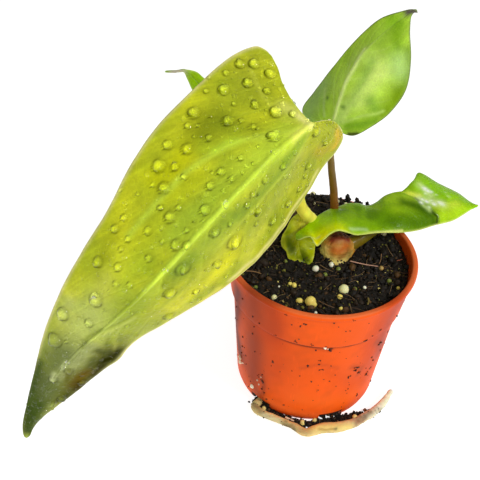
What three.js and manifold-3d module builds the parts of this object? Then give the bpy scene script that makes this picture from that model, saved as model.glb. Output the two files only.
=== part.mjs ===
// A young anthurium with long hanging leaves, in a small round nursery pot.
// Millimetres, +Z up. The origin is the middle of the pot's flat base.
// The plant's big leaf hangs over the front left of the rim (-X, -Y).

import * as THREE from 'three';
import { mergeVertices } from 'three/addons/utils/BufferGeometryUtils.js';
import Module from 'manifold-3d';

const wasm = await Module();
wasm.setup();

// Driving dimensions

const CLEARANCE = 0.3;

const POT = {
  height: 55,
  rimRadius: 30,
  lipHeight: 1.5,
  lipStep: 0.7,
  collarHeight: 14.5,
  collarFootRadius: 27.7,
  collarStep: 0.9,
  bodyFootRadius: 24.4,
  bodyFootHeight: 8,
  baseRadius: 22.6,
  footChamferHeight: 2.6,
  edgeRound: 0.4,
  wall: 1.1,
  floor: 1.2,
  sides: 48,
  slotCount: 6,
  slotWidth: 8,
  slotHeight: 3.7,
  slotDepth: 8,
  slotAngle: 229,
};

const SOIL = {
  frontLevel: 51.4,
  moundHeight: 5.5,
  moundPlace: [1, 22.5],
  moundSpread: 16,
  dipHeight: 1.2,
  dipPlace: [22, -4],
  dipSpread: 9,
  lump: 0.45,
  cells: 20,
  gridReach: 32,
  blockTop: 66,
  airTop: 72,
};

// Bark chips that stand out of the soil
const CHIP = { topRadius: 0.6, footRadius: 1, sides: 6, rise: 0.3 };

// Place across, place back, length, lean in radians
const CHIPS = [[9.8, 24.5, 3.6, 0.3], [13.5, 24, 3, -0.4], [16.4, 22, 3.6, 0.5], [-2, 25, 2.6, -0.3]];

// Slow-release feed beads that lie sunk a little in the soil
const BEAD = { around: 8, high: 6, rise: 0.4 };

// Place across, place back, radius
const BEADS = [
  [-2.1, -7.1, 1], [3.1, -4.7, 0.9], [5.9, -15.7, 1.6], [4.8, -18.4, 0.9], [-8.7, -14.2, 0.9],
  [-14.6, -20.9, 1], [-4.1, -21.8, 1.7], [-7.4, -21.5, 1], [12.5, -13, 0.6], [18.7, -3.5, 0.9],
  [22.7, -12.7, 0.8], [-20, -15.9, 0.7], [0.9, -9.7, 0.8], [-10.1, -13.5, 0.6],
];

const STEM_BASE = {
  lumps: {
    bulb: { centre: [4.6, 1.8, 53.4], radii: [5, 4.8, 6.4] },
    foot: { centre: [4.4, -0.6, 50.2], radii: [4.2, 4, 3.6] },
    shoulder: { centre: [6.4, 3.2, 54], radii: [4.4, 4.2, 4] },
    crown: { centre: [2, 5.2, 56], radii: [3.6, 3.8, 3.4] },
  },
  sides: 16,
};

// A blade is given by its midrib and its left and right margins, each from petiole to tip.
// lobe is the share of the left and of the right margin that goes round the lobe behind the
// petiole, and lobeRows the share of the rows that fan round it. inner is the edge of a left
// lobe that starts away from the petiole, and its margin then starts where that edge does.
// bow is the arch of each side as a share of its width, and face is where the upper side looks.

const BIG_LEAF = {
  thickness: 0.8,
  rib: 0.9,
  face: [-0.2, -0.9, 0.5],
  lobe: [0.2, 0.15],
  bow: [0.02, 0.04],
  lobeRows: 0.3,
  rows: 44,
  columns: 5,
  midrib: [
    [-10, -20, 110], [-17, -27, 107.5], [-25, -35, 102], [-35, -42, 92.5], [-45, -46, 80.5],
    [-55, -47, 68], [-69, -46, 50], [-81.5, -44, 26], [-87.5, -42, 9.5],
  ],
  inner: [
    [-20.3, -3, 119], [-18.5, -5.5, 117], [-17.3, -9, 115], [-15.5, -13, 113.5], [-13, -16.5, 111.8],
    [-10, -20, 110],
  ],
  left: [
    [-20.3, -3, 119], [-22, -2, 120.3], [-24, -1.5, 120.8], [-26, -2, 120.5], [-28, -3, 120],
    [-31.5, -5.5, 118.5], [-39.5, -13.5, 113.5],
    [-47.5, -21.5, 107], [-53.5, -28, 99], [-58, -33, 90.5], [-64, -37, 81], [-70.2, -40, 69.5],
    [-75.5, -42, 56.5], [-80, -43, 41.5], [-84.5, -43, 26], [-87.5, -42.5, 16], [-87.5, -42, 9.5],
  ],
  right: [
    [-10, -20, 110], [-7, -16, 109], [-4, -12, 106.8], [-1.3, -9, 103.3], [0, -7, 98.8], [-1.5, -7.5, 95],
    [-4.5, -10.3, 92], [-11, -17, 83], [-20, -28, 74], [-30, -34, 67.5], [-40.5, -38, 61],
    [-51, -40, 53.5], [-54.5, -40.5, 49.5], [-57, -40.5, 45], [-60, -41, 42.5], [-72, -42, 29.5],
    [-82.5, -42, 17.5], [-87.5, -42, 9.5],
  ],
};

const UPRIGHT_LEAF = {
  thickness: 0.7,
  rib: 0.5,
  face: [0.3, -0.9, -0.3],
  lobe: [0.3, 0.2],
  bow: [0.06, 0.1],
  lobeRows: 0.3,
  rows: 22,
  columns: 4,
  midrib: [
    [-0.5, 10, 94.5], [0.5, 11.5, 100.5], [2, 13, 107], [6.5, 16, 114], [13.5, 19, 120.5],
    [18.5, 21, 124], [19.5, 21, 123.5],
  ],
  left: [
    [-0.5, 10, 94.5], [-3, 13, 90], [-7, 17, 89.5], [-9, 19, 93], [-6, 21, 98], [-2, 22, 104.5],
    [4, 22, 114], [9.5, 21, 121], [15, 21, 123.5], [18.5, 21, 124.2], [19.5, 21, 123.5],
  ],
  right: [
    [-0.5, 10, 94.5], [1.5, 8, 92.5], [5, 7, 92], [9.5, 7, 95], [14.5, 8, 99.5], [18, 10, 105.5],
    [18.5, 13, 113], [17.5, 17, 120], [18.2, 20.8, 123.4], [19.5, 21, 123.5],
  ],
};

const GLOSSY_LEAF = {
  thickness: 0.8,
  rib: 0.5,
  face: [0.1, -0.5, 0.85],
  lobe: [0.55, 0.3],
  bow: [0.12, 0.06],
  lobeRows: 0.5,
  rows: 36,
  columns: 4,
  midrib: [[25.5, 18, 66], [32.5, 17, 64.5], [40, 17, 63.5], [46, 18, 62], [52, 20, 61]],
  inner: [
    [-8.5, -4, 61.5], [-8.5, -1.5, 61.5], [-6, 1.5, 62], [-2.5, 5.5, 63], [1.5, 8.5, 64], [4.5, 10.5, 64],
    [8, 12, 64.5], [11.5, 13, 64], [14.5, 13.5, 63], [17.5, 15, 63.5], [20, 16.5, 65], [22.5, 17.5, 65.5],
    [25.5, 18, 66],
  ],
  left: [
    [-8.5, -4, 61.5], [-7.5, -5, 62.5], [-6, -5, 63.5], [-4.5, -5.5, 64], [-3.5, -6.5, 63],
    [-2.5, -7, 62], [-1, -6, 63], [1, -5, 65], [3.5, -4, 66], [7, -3, 64.5], [9.5, -2, 63],
    [16.5, 1, 62], [25.5, 4, 60.5], [31, 6.5, 60], [35.5, 9, 60], [42.5, 13, 59.5],
    [46.5, 16, 60], [49, 18, 60.5], [52, 20, 61],
  ],
  right: [
    [25.5, 18, 66], [29, 22, 64.5], [31.5, 26, 65], [33, 30, 66], [40, 29, 63], [46.5, 26, 61.5],
    [50.5, 22, 60.5], [52, 20, 61],
  ],
};

const BACK_LEAF = {
  thickness: 0.7,
  rib: 0.4,
  face: [-0.3, -0.8, 0.5],
  lobe: [0.25, 0.25],
  bow: [0.08, 0.08],
  lobeRows: 0.25,
  rows: 18,
  columns: 3,
  midrib: [
    [-12, 15, 73], [-20.5, 13, 82.5], [-29, 13, 91], [-36.5, 16, 97.5], [-42, 20, 101.5],
    [-45.5, 22, 102], [-49.5, 24, 100],
  ],
  left: [
    [-12, 15, 73], [-14, 16, 69.5], [-20, 17, 71], [-29, 17, 79], [-36, 18, 88], [-42, 20.5, 99],
    [-46, 22, 101.5], [-49.5, 24, 100],
  ],
  right: [
    [-12, 15, 73], [-9, 17, 76], [-11, 18, 82.5], [-19, 19, 91.5], [-29, 19.5, 99],
    [-38.5, 20, 101.3], [-43.5, 22, 102.3], [-49.5, 24, 100],
  ],
};

const SMALL_LEAF = {
  thickness: 0.7,
  rib: 0.3,
  face: [-0.3, -0.9, 0.3],
  lobe: [0.1, 0.1],
  bow: [0.1, 0.1],
  wave: { height: 0.5, count: 4 },
  lobeRows: 0.12,
  rows: 18,
  columns: 3,
  midrib: [[-6.5, 5, 66], [-7, 4, 61], [-7.5, 1.5, 56.5], [-6, -2, 53.5], [-3.5, -5, 51.5]],
  left: [
    [-6.5, 5, 66], [-9.5, 4, 64], [-11, 3, 61.5], [-12.5, 1.5, 58], [-12.5, 0, 55.5], [-11, -1.5, 54.5],
    [-10, -3, 53], [-8.5, -3.5, 52.5], [-7.5, -3, 53], [-6.5, -4, 52.5], [-5, -4.5, 52], [-3.5, -5, 51.5],
  ],
  right: [
    [-6.5, 5, 66], [-4.5, 5, 61.5], [-2.5, 3, 57.5], [-2, 0.5, 55.5], [-2.5, -2.5, 53.5], [-3.5, -5, 51.5],
  ],
};

// A stalk is given by points on its middle line and the radius at each of its ends.

const STALK_SIDES = 10;

const BIG_PETIOLE = {
  points: [
    [1.8, 3.2, 56], [0.2, 3.4, 58], [-2.5, 3.5, 61.5], [-5.5, 2.5, 65.5], [-8, 0.5, 70.5],
    [-9.5, -3.5, 78.5], [-10.5, -8, 87.5], [-11, -14, 99], [-11.2, -20.5, 108.5],
  ],
  radii: [2, 1.3],
  steps: 20,
};

const UPRIGHT_PETIOLE = {
  points: [
    [5.4, 6, 55.5], [4.8, 7.4, 57.5], [4, 9.3, 60.5], [3.5, 10, 65], [2.5, 10.3, 71], [0.5, 10.3, 80.5],
    [-0.6, 10.5, 88.5], [-0.4, 11.4, 92.5], [-0.3, 12.3, 96],
  ],
  radii: [1.5, 0.9],
  steps: 16,
};

const GLOSSY_PETIOLE = {
  points: [
    [6.5, 3, 53.5], [10, 4, 54.5], [13, 5.5, 55.5], [16.5, 7.5, 57], [21.5, 11, 59.5], [25, 15, 61.5],
    [27.5, 17.5, 63.8],
  ],
  radii: [2.9, 1],
  steps: 14,
};

const BACK_PETIOLE = {
  points: [
    [2.5, 6.5, 55], [0.5, 8, 56.5], [-3, 8.3, 59.5], [-6, 9.5, 62.5], [-8.5, 12.5, 67], [-11.5, 15, 73],
    [-12, 15.6, 74.5],
  ],
  radii: [1.5, 0.9],
  steps: 12,
};

const SMALL_PETIOLE = {
  points: [
    [1.5, 5, 55.5], [0, 6, 57.5], [-3, 6.3, 61.5], [-5.5, 6.3, 64.5], [-6.5, 5.5, 67],
  ],
  radii: [1.2, 0.8],
  steps: 8,
};

const ROOT = {
  points: [
    [-10, -11, 4], [-12.6, -14, 3.4], [-15.5, -17.5, 1.75], [-18, -20.4, 1.7], [-16.5, -23, 1.7],
    [-9, -26, 1.7], [-4, -28, 1.7], [-0.8, -29.8, 1.7], [5, -27.8, 1.7], [11.5, -26.8, 1.7],
    [16, -24.5, 1.7], [21, -21, 1.7], [25, -17.5, 1.8], [28.5, -13, 2.2], [30, -10.5, 2.6],
  ],
  radii: [1.5, 1.4],
  steps: 48,
  knob: 0.12,
};

// Small helpers

const vector = ([x, y, z]) => new THREE.Vector3(x, y, z);
const smooth = (t) => t * t * (3 - 2 * t);

function curveThrough(points) {
  return new THREE.CatmullRomCurve3(points.map(vector), false, 'centripetal');
}

// Three crossed waves of about 4 mm, whose mean goes from -1 to 1 over the plane
const WAVES = [[0.9, 1.3, 0], [1.7, -0.8, 2.1], [-0.5, 2.3, 4.2]];

function ripple(x, y) {
  return WAVES.reduce((sum, [a, b, phase]) => sum + Math.sin(a * x + b * y + phase), 0) / WAVES.length;
}

function geometryOf(positions, indices) {
  const geometry = new THREE.BufferGeometry();
  geometry.setAttribute('position', new THREE.Float32BufferAttribute(positions, 3));
  geometry.setIndex(indices);
  geometry.computeVertexNormals();
  return geometry;
}

// Six times the volume that the triangles enclose, positive where they face out
function enclosed(points, triangles) {
  let sum = 0;
  for (const [a, b, c] of triangles) {
    sum += points[a].dot(new THREE.Vector3().crossVectors(points[b], points[c]));
  }
  return sum;
}

function closedGeometry(points, triangles) {
  const outward = enclosed(points, triangles) > 0;
  const indices = triangles.flatMap(([a, b, c]) => (outward ? [a, b, c] : [a, c, b]));
  return geometryOf(points.flatMap((p) => [p.x, p.y, p.z]), indices);
}

// Solids for cutting and joining

function solidOf(geometry) {
  const bare = geometry.clone();
  bare.deleteAttribute('normal');
  bare.deleteAttribute('uv');
  const merged = mergeVertices(bare, 1e-4);
  return new wasm.Manifold(new wasm.Mesh({
    numProp: 3,
    vertProperties: new Float32Array(merged.attributes.position.array),
    triVerts: new Uint32Array(merged.index.array),
  }));
}

function largestPiece(solid) {
  return solid.decompose().reduce((best, piece) => (piece.volume() > best.volume() ? piece : best));
}

function geometryFrom(solid) {
  const { vertProperties, triVerts } = largestPiece(solid).getMesh();
  return geometryOf(Array.from(vertProperties), Array.from(triVerts));
}

// Blades

// The first rows of a blade go round its lobes and the others along its midrib. A row starts at
// the petiole, on the midrib or, where the lobe has an inner edge of its own, on that edge, and
// it ends on the margin. Between the two it is raised towards the face by a bow and by a wave.
function bladeRow(leaf, lines, side, row) {
  const share = row / leaf.rows;
  const past = Math.max(0, (share - leaf.lobeRows) / (1 - leaf.lobeRows));
  const before = Math.min(1, share / leaf.lobeRows);
  const along = past > 0 ? leaf.lobe[side] + (1 - leaf.lobe[side]) * past : leaf.lobe[side] * before;
  const onInner = past === 0 && lines.inner[side];
  const start = onInner ? lines.inner[side].getPointAt(before) : lines.midrib.getPointAt(past);
  const across = lines.margin[side].getPointAt(along).sub(start);
  const width = across.length();
  const outward = across.clone().divideScalar(Math.max(width, 1e-6));
  const face = vector(leaf.face);
  const lift = face.clone().addScaledVector(outward, -face.dot(outward)).normalize();
  const { height, count } = leaf.wave ?? { height: 0, count: 0 };
  return Array.from({ length: leaf.columns + 1 }, (_, column) => {
    const r = column / leaf.columns;
    const bow = 4 * r * (1 - r) * leaf.bow[side] * width * smooth(before);
    const wave = height * smooth(r) * Math.sin(2 * Math.PI * count * along);
    return start.clone().addScaledVector(across, r).addScaledVector(lift, bow + wave);
  });
}

// The middle surface as unique points and triangles, with its outline as a loop of points
function bladeSurface(leaf) {
  const { rows, columns } = leaf;
  const lines = {
    midrib: curveThrough(leaf.midrib),
    margin: [curveThrough(leaf.left), curveThrough(leaf.right)],
    inner: [leaf.inner && curveThrough(leaf.inner), null],
  };
  const lobeEnd = Math.round(rows * leaf.lobeRows);
  const points = [];
  const ribs = new Map();
  const ids = new Map();
  const keyOf = (side, row, column) => {
    if (row === rows) return 'tip';
    if (row === 0) return lines.inner[side] ? 'lobe' : 'petiole';
    if (column > 0) return `${side} ${row} ${column}`;
    if (row > lobeEnd) return `midrib ${row}`;
    return row < lobeEnd && lines.inner[side] ? `inner ${row}` : 'petiole';
  };
  const idOf = (side, row, column) => {
    const key = keyOf(side, row, column);
    if (!ids.has(key)) {
      ids.set(key, points.length);
      if (key === 'petiole' || key.startsWith('midrib')) {
        ribs.set(points.length, Math.min(1, (rows - row) / (rows - lobeEnd)));
      }
      points.push(bladeRow(leaf, lines, side, row)[column]);
    }
    return ids.get(key);
  };
  idOf(0, lobeEnd, 0);
  const triangles = [];
  for (const side of [0, 1]) {
    for (let row = 0; row < rows; row += 1) {
      for (let column = 0; column < columns; column += 1) {
        const a = idOf(side, row, column);
        const b = idOf(side, row + 1, column);
        const c = idOf(side, row + 1, column + 1);
        const d = idOf(side, row, column + 1);
        const pair = side === 0 ? [[a, b, c], [a, c, d]] : [[a, c, b], [a, d, c]];
        triangles.push(...pair.filter(([p, q, r]) => p !== q && q !== r && p !== r));
      }
    }
  }
  const marginOf = (side) => Array.from({ length: rows - 1 }, (_, i) => idOf(side, i + 1, columns));
  const inner = lines.inner[0] ? Array.from({ length: lobeEnd }, (_, row) => idOf(0, row, 0)) : [];
  const border = [ids.get('tip'), ...marginOf(0).reverse(), ...inner, ids.get('petiole'), ...marginOf(1)];
  return { points, triangles, border, ribs };
}

function pointNormals(points, triangles) {
  const normals = points.map(() => new THREE.Vector3());
  for (const [a, b, c] of triangles) {
    const side = points[b].clone().sub(points[a]).cross(points[c].clone().sub(points[a]));
    [a, b, c].forEach((id) => normals[id].add(side));
  }
  return normals.map((normal) => normal.normalize());
}

// The middle surface gets its thickness along the point normals, alike on both faces. The
// midrib stands out of the underside and sinks away towards the tip.
function blade(leaf, extra) {
  const { points, triangles, border, ribs } = bladeSurface(leaf);
  const normals = pointNormals(points, triangles);
  const faceUp = normals.reduce((sum, normal) => sum + normal.dot(vector(leaf.face)), 0) > 0;
  const half = leaf.thickness / 2 + extra;
  const rise = (id) => leaf.rib * (ribs.get(id) ?? 0);
  const raised = (way, ribbed) => points.map((point, id) => {
    return point.clone().addScaledVector(normals[id], way * (half + (ribbed ? rise(id) : 0)));
  });
  const [upper, lower] = [raised(1, !faceUp), raised(-1, faceUp)];
  const count = points.length;
  const faces = [...triangles, ...triangles.map(([a, b, c]) => [a + count, c + count, b + count])];
  border.forEach((i, place) => {
    const j = border[(place + 1) % border.length];
    faces.push([j, i, i + count], [j, i + count, j + count]);
  });
  return closedGeometry([...upper, ...lower], faces);
}

// Stalks

// Rings of points round a curve, with a radius that goes from the first value to the second
// and swells and shrinks by the share knob, closed by a blunt point at each end
function stalk({ points, radii, steps, knob = 0 }, extra) {
  const path = curveThrough(points);
  const { normals, binormals } = path.computeFrenetFrames(steps, false);
  const rings = [];
  for (let step = 0; step <= steps; step += 1) {
    const share = step / steps;
    const centre = path.getPointAt(share);
    const swell = 1 + knob * ripple(step, step);
    const radius = THREE.MathUtils.lerp(radii[0], radii[1], share) * swell + extra;
    for (let side = 0; side < STALK_SIDES; side += 1) {
      const angle = (2 * Math.PI * side) / STALK_SIDES;
      const spoke = normals[step].clone().multiplyScalar(Math.cos(angle));
      spoke.addScaledVector(binormals[step], Math.sin(angle));
      rings.push(centre.clone().addScaledVector(spoke, radius));
    }
  }
  const first = rings.length;
  const endCap = (share, reach) => path.getPointAt(share).addScaledVector(path.getTangentAt(share), reach);
  rings.push(endCap(0, -0.5 * radii[0] - extra), endCap(1, 0.5 * radii[1] + extra));
  const triangles = [];
  for (let side = 0; side < STALK_SIDES; side += 1) {
    const next = (side + 1) % STALK_SIDES;
    for (let step = 0; step < steps; step += 1) {
      const a = step * STALK_SIDES;
      const b = a + STALK_SIDES;
      triangles.push([a + side, a + next, b + next], [a + side, b + next, b + side]);
    }
    const last = steps * STALK_SIDES;
    triangles.push([first, next, side], [first + 1, last + side, last + next]);
  }
  return closedGeometry(rings, triangles);
}

// Pot

// The wall's section as radius and height: up the outside from the base, and down the inside
function potProfile() {
  const { height, wall, floor, edgeRound: ease } = POT;
  const collarFoot = height - POT.collarHeight;
  const lipFoot = height - POT.lipHeight;
  const bodyTop = POT.collarFootRadius - POT.collarStep;
  const underLip = POT.rimRadius - POT.lipStep;
  const outside = [
    [0, 0], [POT.baseRadius, 0], [POT.baseRadius + 2 * ease, 2 * ease],
    [POT.bodyFootRadius - ease, POT.footChamferHeight], [POT.bodyFootRadius, POT.bodyFootHeight],
    [bodyTop, collarFoot - ease], [POT.collarFootRadius, collarFoot], [underLip, lipFoot - ease],
    [POT.rimRadius, lipFoot], [POT.rimRadius, height - ease], [POT.rimRadius - ease, height],
  ];
  const inside = [
    [underLip - wall + ease, height], [underLip - wall, height - ease],
    [POT.collarFootRadius - wall, collarFoot + ease], [bodyTop - wall, collarFoot - wall],
    [POT.bodyFootRadius - wall, POT.bodyFootHeight], [POT.baseRadius - 2 * ease, floor + 2 * ease],
    [POT.baseRadius - 4 * ease, floor], [0, floor],
  ];
  return { outside, inside };
}

function latheOf(profile) {
  const points = profile.map(([r, z]) => new THREE.Vector2(r, z));
  return new THREE.LatheGeometry(points, POT.sides).rotateX(Math.PI / 2);
}

function pot() {
  const { outside, inside } = potProfile();
  let body = solidOf(latheOf([...outside, ...inside]));
  const slot = new THREE.BoxGeometry(POT.slotDepth, POT.slotWidth, 2 * POT.slotHeight);
  slot.translate(POT.collarFootRadius - POT.slotDepth / 2, 0, 0);
  for (let index = 0; index < POT.slotCount; index += 1) {
    const angle = THREE.MathUtils.degToRad(POT.slotAngle + (360 * index) / POT.slotCount);
    body = body.subtract(solidOf(slot.clone().rotateZ(angle)));
  }
  return body;
}

// Soil

function soilHeight(x, y) {
  const hill = ([across, back], spread) => {
    return Math.exp(-((x - across) ** 2 + (y - back) ** 2) / (2 * spread ** 2));
  };
  return SOIL.frontLevel + SOIL.moundHeight * hill(SOIL.moundPlace, SOIL.moundSpread)
    - SOIL.dipHeight * hill(SOIL.dipPlace, SOIL.dipSpread) + SOIL.lump * ripple(x, y);
}

// Everything above the soil's surface, as a block over a square grid
function airAboveSoil() {
  const { cells } = SOIL;
  const side = cells + 1;
  const points = [];
  for (const top of [false, true]) {
    for (let row = 0; row < side; row += 1) {
      for (let column = 0; column < side; column += 1) {
        const x = SOIL.gridReach * ((2 * column) / cells - 1);
        const y = SOIL.gridReach * ((2 * row) / cells - 1);
        points.push(new THREE.Vector3(x, y, top ? SOIL.airTop : soilHeight(x, y)));
      }
    }
  }
  const count = side * side;
  const triangles = [];
  for (let row = 0; row < cells; row += 1) {
    for (let column = 0; column < cells; column += 1) {
      const a = row * side + column;
      const [b, c, d] = [a + 1, a + side + 1, a + side];
      for (const [p, q, r] of [[a, b, c], [a, c, d]]) {
        triangles.push([p, q, r], [p + count, r + count, q + count]);
      }
    }
  }
  const edge = [];
  for (let i = 0; i < cells; i += 1) edge.push(i);
  for (let i = 0; i < cells; i += 1) edge.push(cells + i * side);
  for (let i = 0; i < cells; i += 1) edge.push(count - 1 - i);
  for (let i = 0; i < cells; i += 1) edge.push((cells - i) * side);
  edge.forEach((i, place) => {
    const j = edge[(place + 1) % edge.length];
    triangles.push([j, i, i + count], [j, i + count, j + count]);
  });
  return solidOf(closedGeometry(points, triangles));
}

// A block that fills the pot and stands above its rim, cut off at the soil's surface
function soil() {
  const inside = potProfile().inside.slice(1).reverse().map(([r, z]) => [r - CLEARANCE, z]);
  const floor = POT.floor + CLEARANCE;
  const rim = inside[inside.length - 1][0];
  const foot = [[0, floor], [inside[1][0], floor]];
  const profile = [...foot, ...inside.slice(2), [rim, SOIL.blockTop], [0, SOIL.blockTop]];
  let body = solidOf(latheOf(profile)).subtract(airAboveSoil());
  for (const [x, y, radius] of BEADS) {
    const bead = new THREE.SphereGeometry(radius, BEAD.around, BEAD.high);
    body = body.add(solidOf(bead.translate(x, y, soilHeight(x, y) + BEAD.rise * radius)));
  }
  for (const [x, y, length, lean] of CHIPS) {
    const chip = new THREE.CylinderGeometry(CHIP.topRadius, CHIP.footRadius, length, CHIP.sides);
    chip.rotateX(Math.PI / 2).rotateY(lean);
    body = body.add(solidOf(chip.translate(x, y, soilHeight(x, y) + CHIP.rise * length)));
  }
  return body;
}

// Plant

function stemBase(extra) {
  const lumps = Object.values(STEM_BASE.lumps).map(({ centre, radii }) => {
    const ball = new THREE.SphereGeometry(1, STEM_BASE.sides, STEM_BASE.sides / 2);
    ball.rotateX(Math.PI / 2).scale(radii[0] + extra, radii[1] + extra, radii[2] + extra);
    return solidOf(ball.translate(...centre));
  });
  return lumps.reduce((body, lump) => body.add(lump));
}

// Each piece of the plant with its maker, which takes how much bigger than true it is made
const PLANT = {
  big_leaf_blade: (extra) => solidOf(blade(BIG_LEAF, extra)),
  upright_leaf_blade: (extra) => solidOf(blade(UPRIGHT_LEAF, extra)),
  glossy_leaf_blade: (extra) => solidOf(blade(GLOSSY_LEAF, extra)),
  back_leaf_blade: (extra) => solidOf(blade(BACK_LEAF, extra)),
  small_leaf_blade: (extra) => solidOf(blade(SMALL_LEAF, extra)),
  big_leaf_petiole: (extra) => solidOf(stalk(BIG_PETIOLE, extra)),
  upright_leaf_petiole: (extra) => solidOf(stalk(UPRIGHT_PETIOLE, extra)),
  glossy_leaf_petiole: (extra) => solidOf(stalk(GLOSSY_PETIOLE, extra)),
  back_leaf_petiole: (extra) => solidOf(stalk(BACK_PETIOLE, extra)),
  small_leaf_petiole: (extra) => solidOf(stalk(SMALL_PETIOLE, extra)),
  escaped_root: (extra) => solidOf(stalk(ROOT, extra)),
  stem_base: stemBase,
};

// Where pieces meet, the later one is cut back to leave its clearance to the earlier ones: a
// petiole stops at its blade, the stem base has a socket for each petiole, and the soil a hole
// for everything that stands in it. A grown blade can miss a corner of the true one, so the
// room that is kept for a piece is both together.
function pieces() {
  const done = [['nursery_pot', pot()]];
  const room = [];
  const cutBack = (solid) => room.reduce((rest, other) => rest.subtract(other), solid);
  for (const [name, make] of Object.entries(PLANT)) {
    const whole = make(0);
    done.push([name, cutBack(whole)]);
    room.push(make(CLEARANCE).add(whole));
  }
  return [...done, ['potting_soil', cutBack(soil())]];
}

// Colour, roughness and metalness of each piece
const FINISH = {
  nursery_pot: [0xd9542a, 0.45, 0],
  potting_soil: [0x1c1611, 0.95, 0],
  stem_base: [0xc98a52, 0.55, 0],
  escaped_root: [0xd8c583, 0.7, 0],
  big_leaf_blade: [0xa3b13a, 0.4, 0],
  big_leaf_petiole: [0xc7c84a, 0.5, 0],
  upright_leaf_blade: [0x7fae3e, 0.45, 0],
  upright_leaf_petiole: [0x8a5a2c, 0.5, 0],
  glossy_leaf_blade: [0x5fa516, 0.25, 0],
  glossy_leaf_petiole: [0xb3ad3c, 0.5, 0],
  back_leaf_blade: [0x6fb41c, 0.4, 0],
  back_leaf_petiole: [0xb8b040, 0.5, 0],
  small_leaf_blade: [0x7f8a2a, 0.5, 0],
  small_leaf_petiole: [0xc7c24c, 0.5, 0],
};

const group = new THREE.Group();
for (const [name, solid] of pieces()) {
  const [color, roughness, metalness] = FINISH[name];
  const material = new THREE.MeshStandardMaterial({ color, roughness, metalness });
  const piece = new THREE.Mesh(geometryFrom(solid), material);
  piece.name = name;
  group.add(piece);
}

export default group;
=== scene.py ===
"""A young anthurium in a small terracotta-coloured nursery pot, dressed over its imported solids.

One long wet leaf hangs over the front left of the rim, and smaller leaves stand round it on bent
stalks. Shapes are worked out in millimetres in the pot's own frame (the origin is the middle of
its flat base, +Z up, +Y away from the photograph's side) and go into meshes in metres.
"""

import logging
import math
from collections.abc import Callable, Sequence
from dataclasses import dataclass
from enum import Enum

import bmesh
import bpy
import numpy as np
from mathutils import Matrix, Vector
from mathutils.bvhtree import BVHTree

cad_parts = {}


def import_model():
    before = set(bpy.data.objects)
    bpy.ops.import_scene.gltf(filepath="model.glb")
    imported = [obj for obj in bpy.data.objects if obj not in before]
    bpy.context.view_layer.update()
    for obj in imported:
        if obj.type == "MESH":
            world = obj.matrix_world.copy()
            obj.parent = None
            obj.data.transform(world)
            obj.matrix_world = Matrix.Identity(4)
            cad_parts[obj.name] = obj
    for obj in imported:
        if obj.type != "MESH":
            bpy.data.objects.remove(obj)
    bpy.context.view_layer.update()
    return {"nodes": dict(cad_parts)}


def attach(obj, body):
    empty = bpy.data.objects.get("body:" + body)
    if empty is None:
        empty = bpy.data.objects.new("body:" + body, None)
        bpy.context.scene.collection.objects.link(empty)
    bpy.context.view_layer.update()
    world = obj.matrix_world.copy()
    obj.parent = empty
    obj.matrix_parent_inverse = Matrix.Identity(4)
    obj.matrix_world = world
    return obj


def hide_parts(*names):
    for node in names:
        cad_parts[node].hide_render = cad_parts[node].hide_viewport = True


Array = np.ndarray
Pixel = tuple[float, float]
Point = tuple[float, float, float]
Socket = bpy.types.NodeSocket
Material = bpy.types.Material

MM = 0.001
TINY = 1e-9
BODY = "root"
LOG = logging.getLogger("anthurium")


class Side(Enum):
    """The two halves of a blade, seen from its upper face with the tip down."""

    LEFT = 0
    RIGHT = 1


def srgb(red: float, green: float, blue: float) -> Point:
    """Turns a colour into the linear values that a shader takes.

    Args:
        red: How red it is on a screen, from 0 to 255.
        green: How green.
        blue: How blue.

    Returns:
        The three linear values from 0 to 1.
    """
    values = np.array([red, green, blue]) / 255
    linear = np.where(values <= 0.04045, values / 12.92, ((values + 0.055) / 1.055) ** 2.4)
    return tuple(float(value) for value in linear)


def clamp(values: Array) -> Array:
    """Holds values between 0 and 1."""
    return np.clip(values, 0, 1)


def smooth(share: Array) -> Array:
    """An S-shaped step from 0 to 1: 3 t^2 - 2 t^3, level at both ends and beyond them."""
    share = clamp(share)
    return share * share * (3 - 2 * share)


def bell(values: Array, middle: Array | float, width: Array | float) -> Array:
    """A hump of height one: exp(-((value - middle) / width)^2)."""
    return np.exp(-(((values - middle) / width) ** 2))


def circle(sides: int) -> Array:
    """Even angles round a circle, in radians."""
    return np.arange(sides) / sides * 2 * np.pi


def unit(vectors: Array) -> Array:
    """Vectors of length one."""
    return vectors / np.maximum(np.linalg.norm(vectors, axis=-1, keepdims=True), TINY)


@dataclass(frozen=True)
class Ripples:
    """A smooth noise: the mean of seven sine waves in random directions.

    Attributes:
        length: The waves' length in mm.
        seed: Picks their directions and phases.
        size: How far the noise goes to both sides of 0.
    """

    length: float
    seed: int
    size: float = 1.0

    def at(self, points: Array) -> Array:
        """Works out the noise.

        Args:
            points: Places in mm.

        Returns:
            One value for each place.
        """
        waves, shortest, longest, gain = 7, 0.6, 1.6, 1.8
        rng = np.random.default_rng(self.seed)
        ways = unit(rng.normal(size=(waves, 3))) * rng.uniform(shortest, longest, (waves, 1))
        ways = ways * 2 * np.pi / self.length
        phases = rng.uniform(0, 2 * np.pi, waves)
        return self.size * (np.sin(points @ ways.T + phases).mean(-1) * gain)


def blend(first: Array, second: Array | Point, share: Array) -> Array:
    """Mixes two sets of colours, point by point, by a share from 0 to 1."""
    share = clamp(share)[..., None]
    return first * (1 - share) + np.asarray(second) * share


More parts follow.
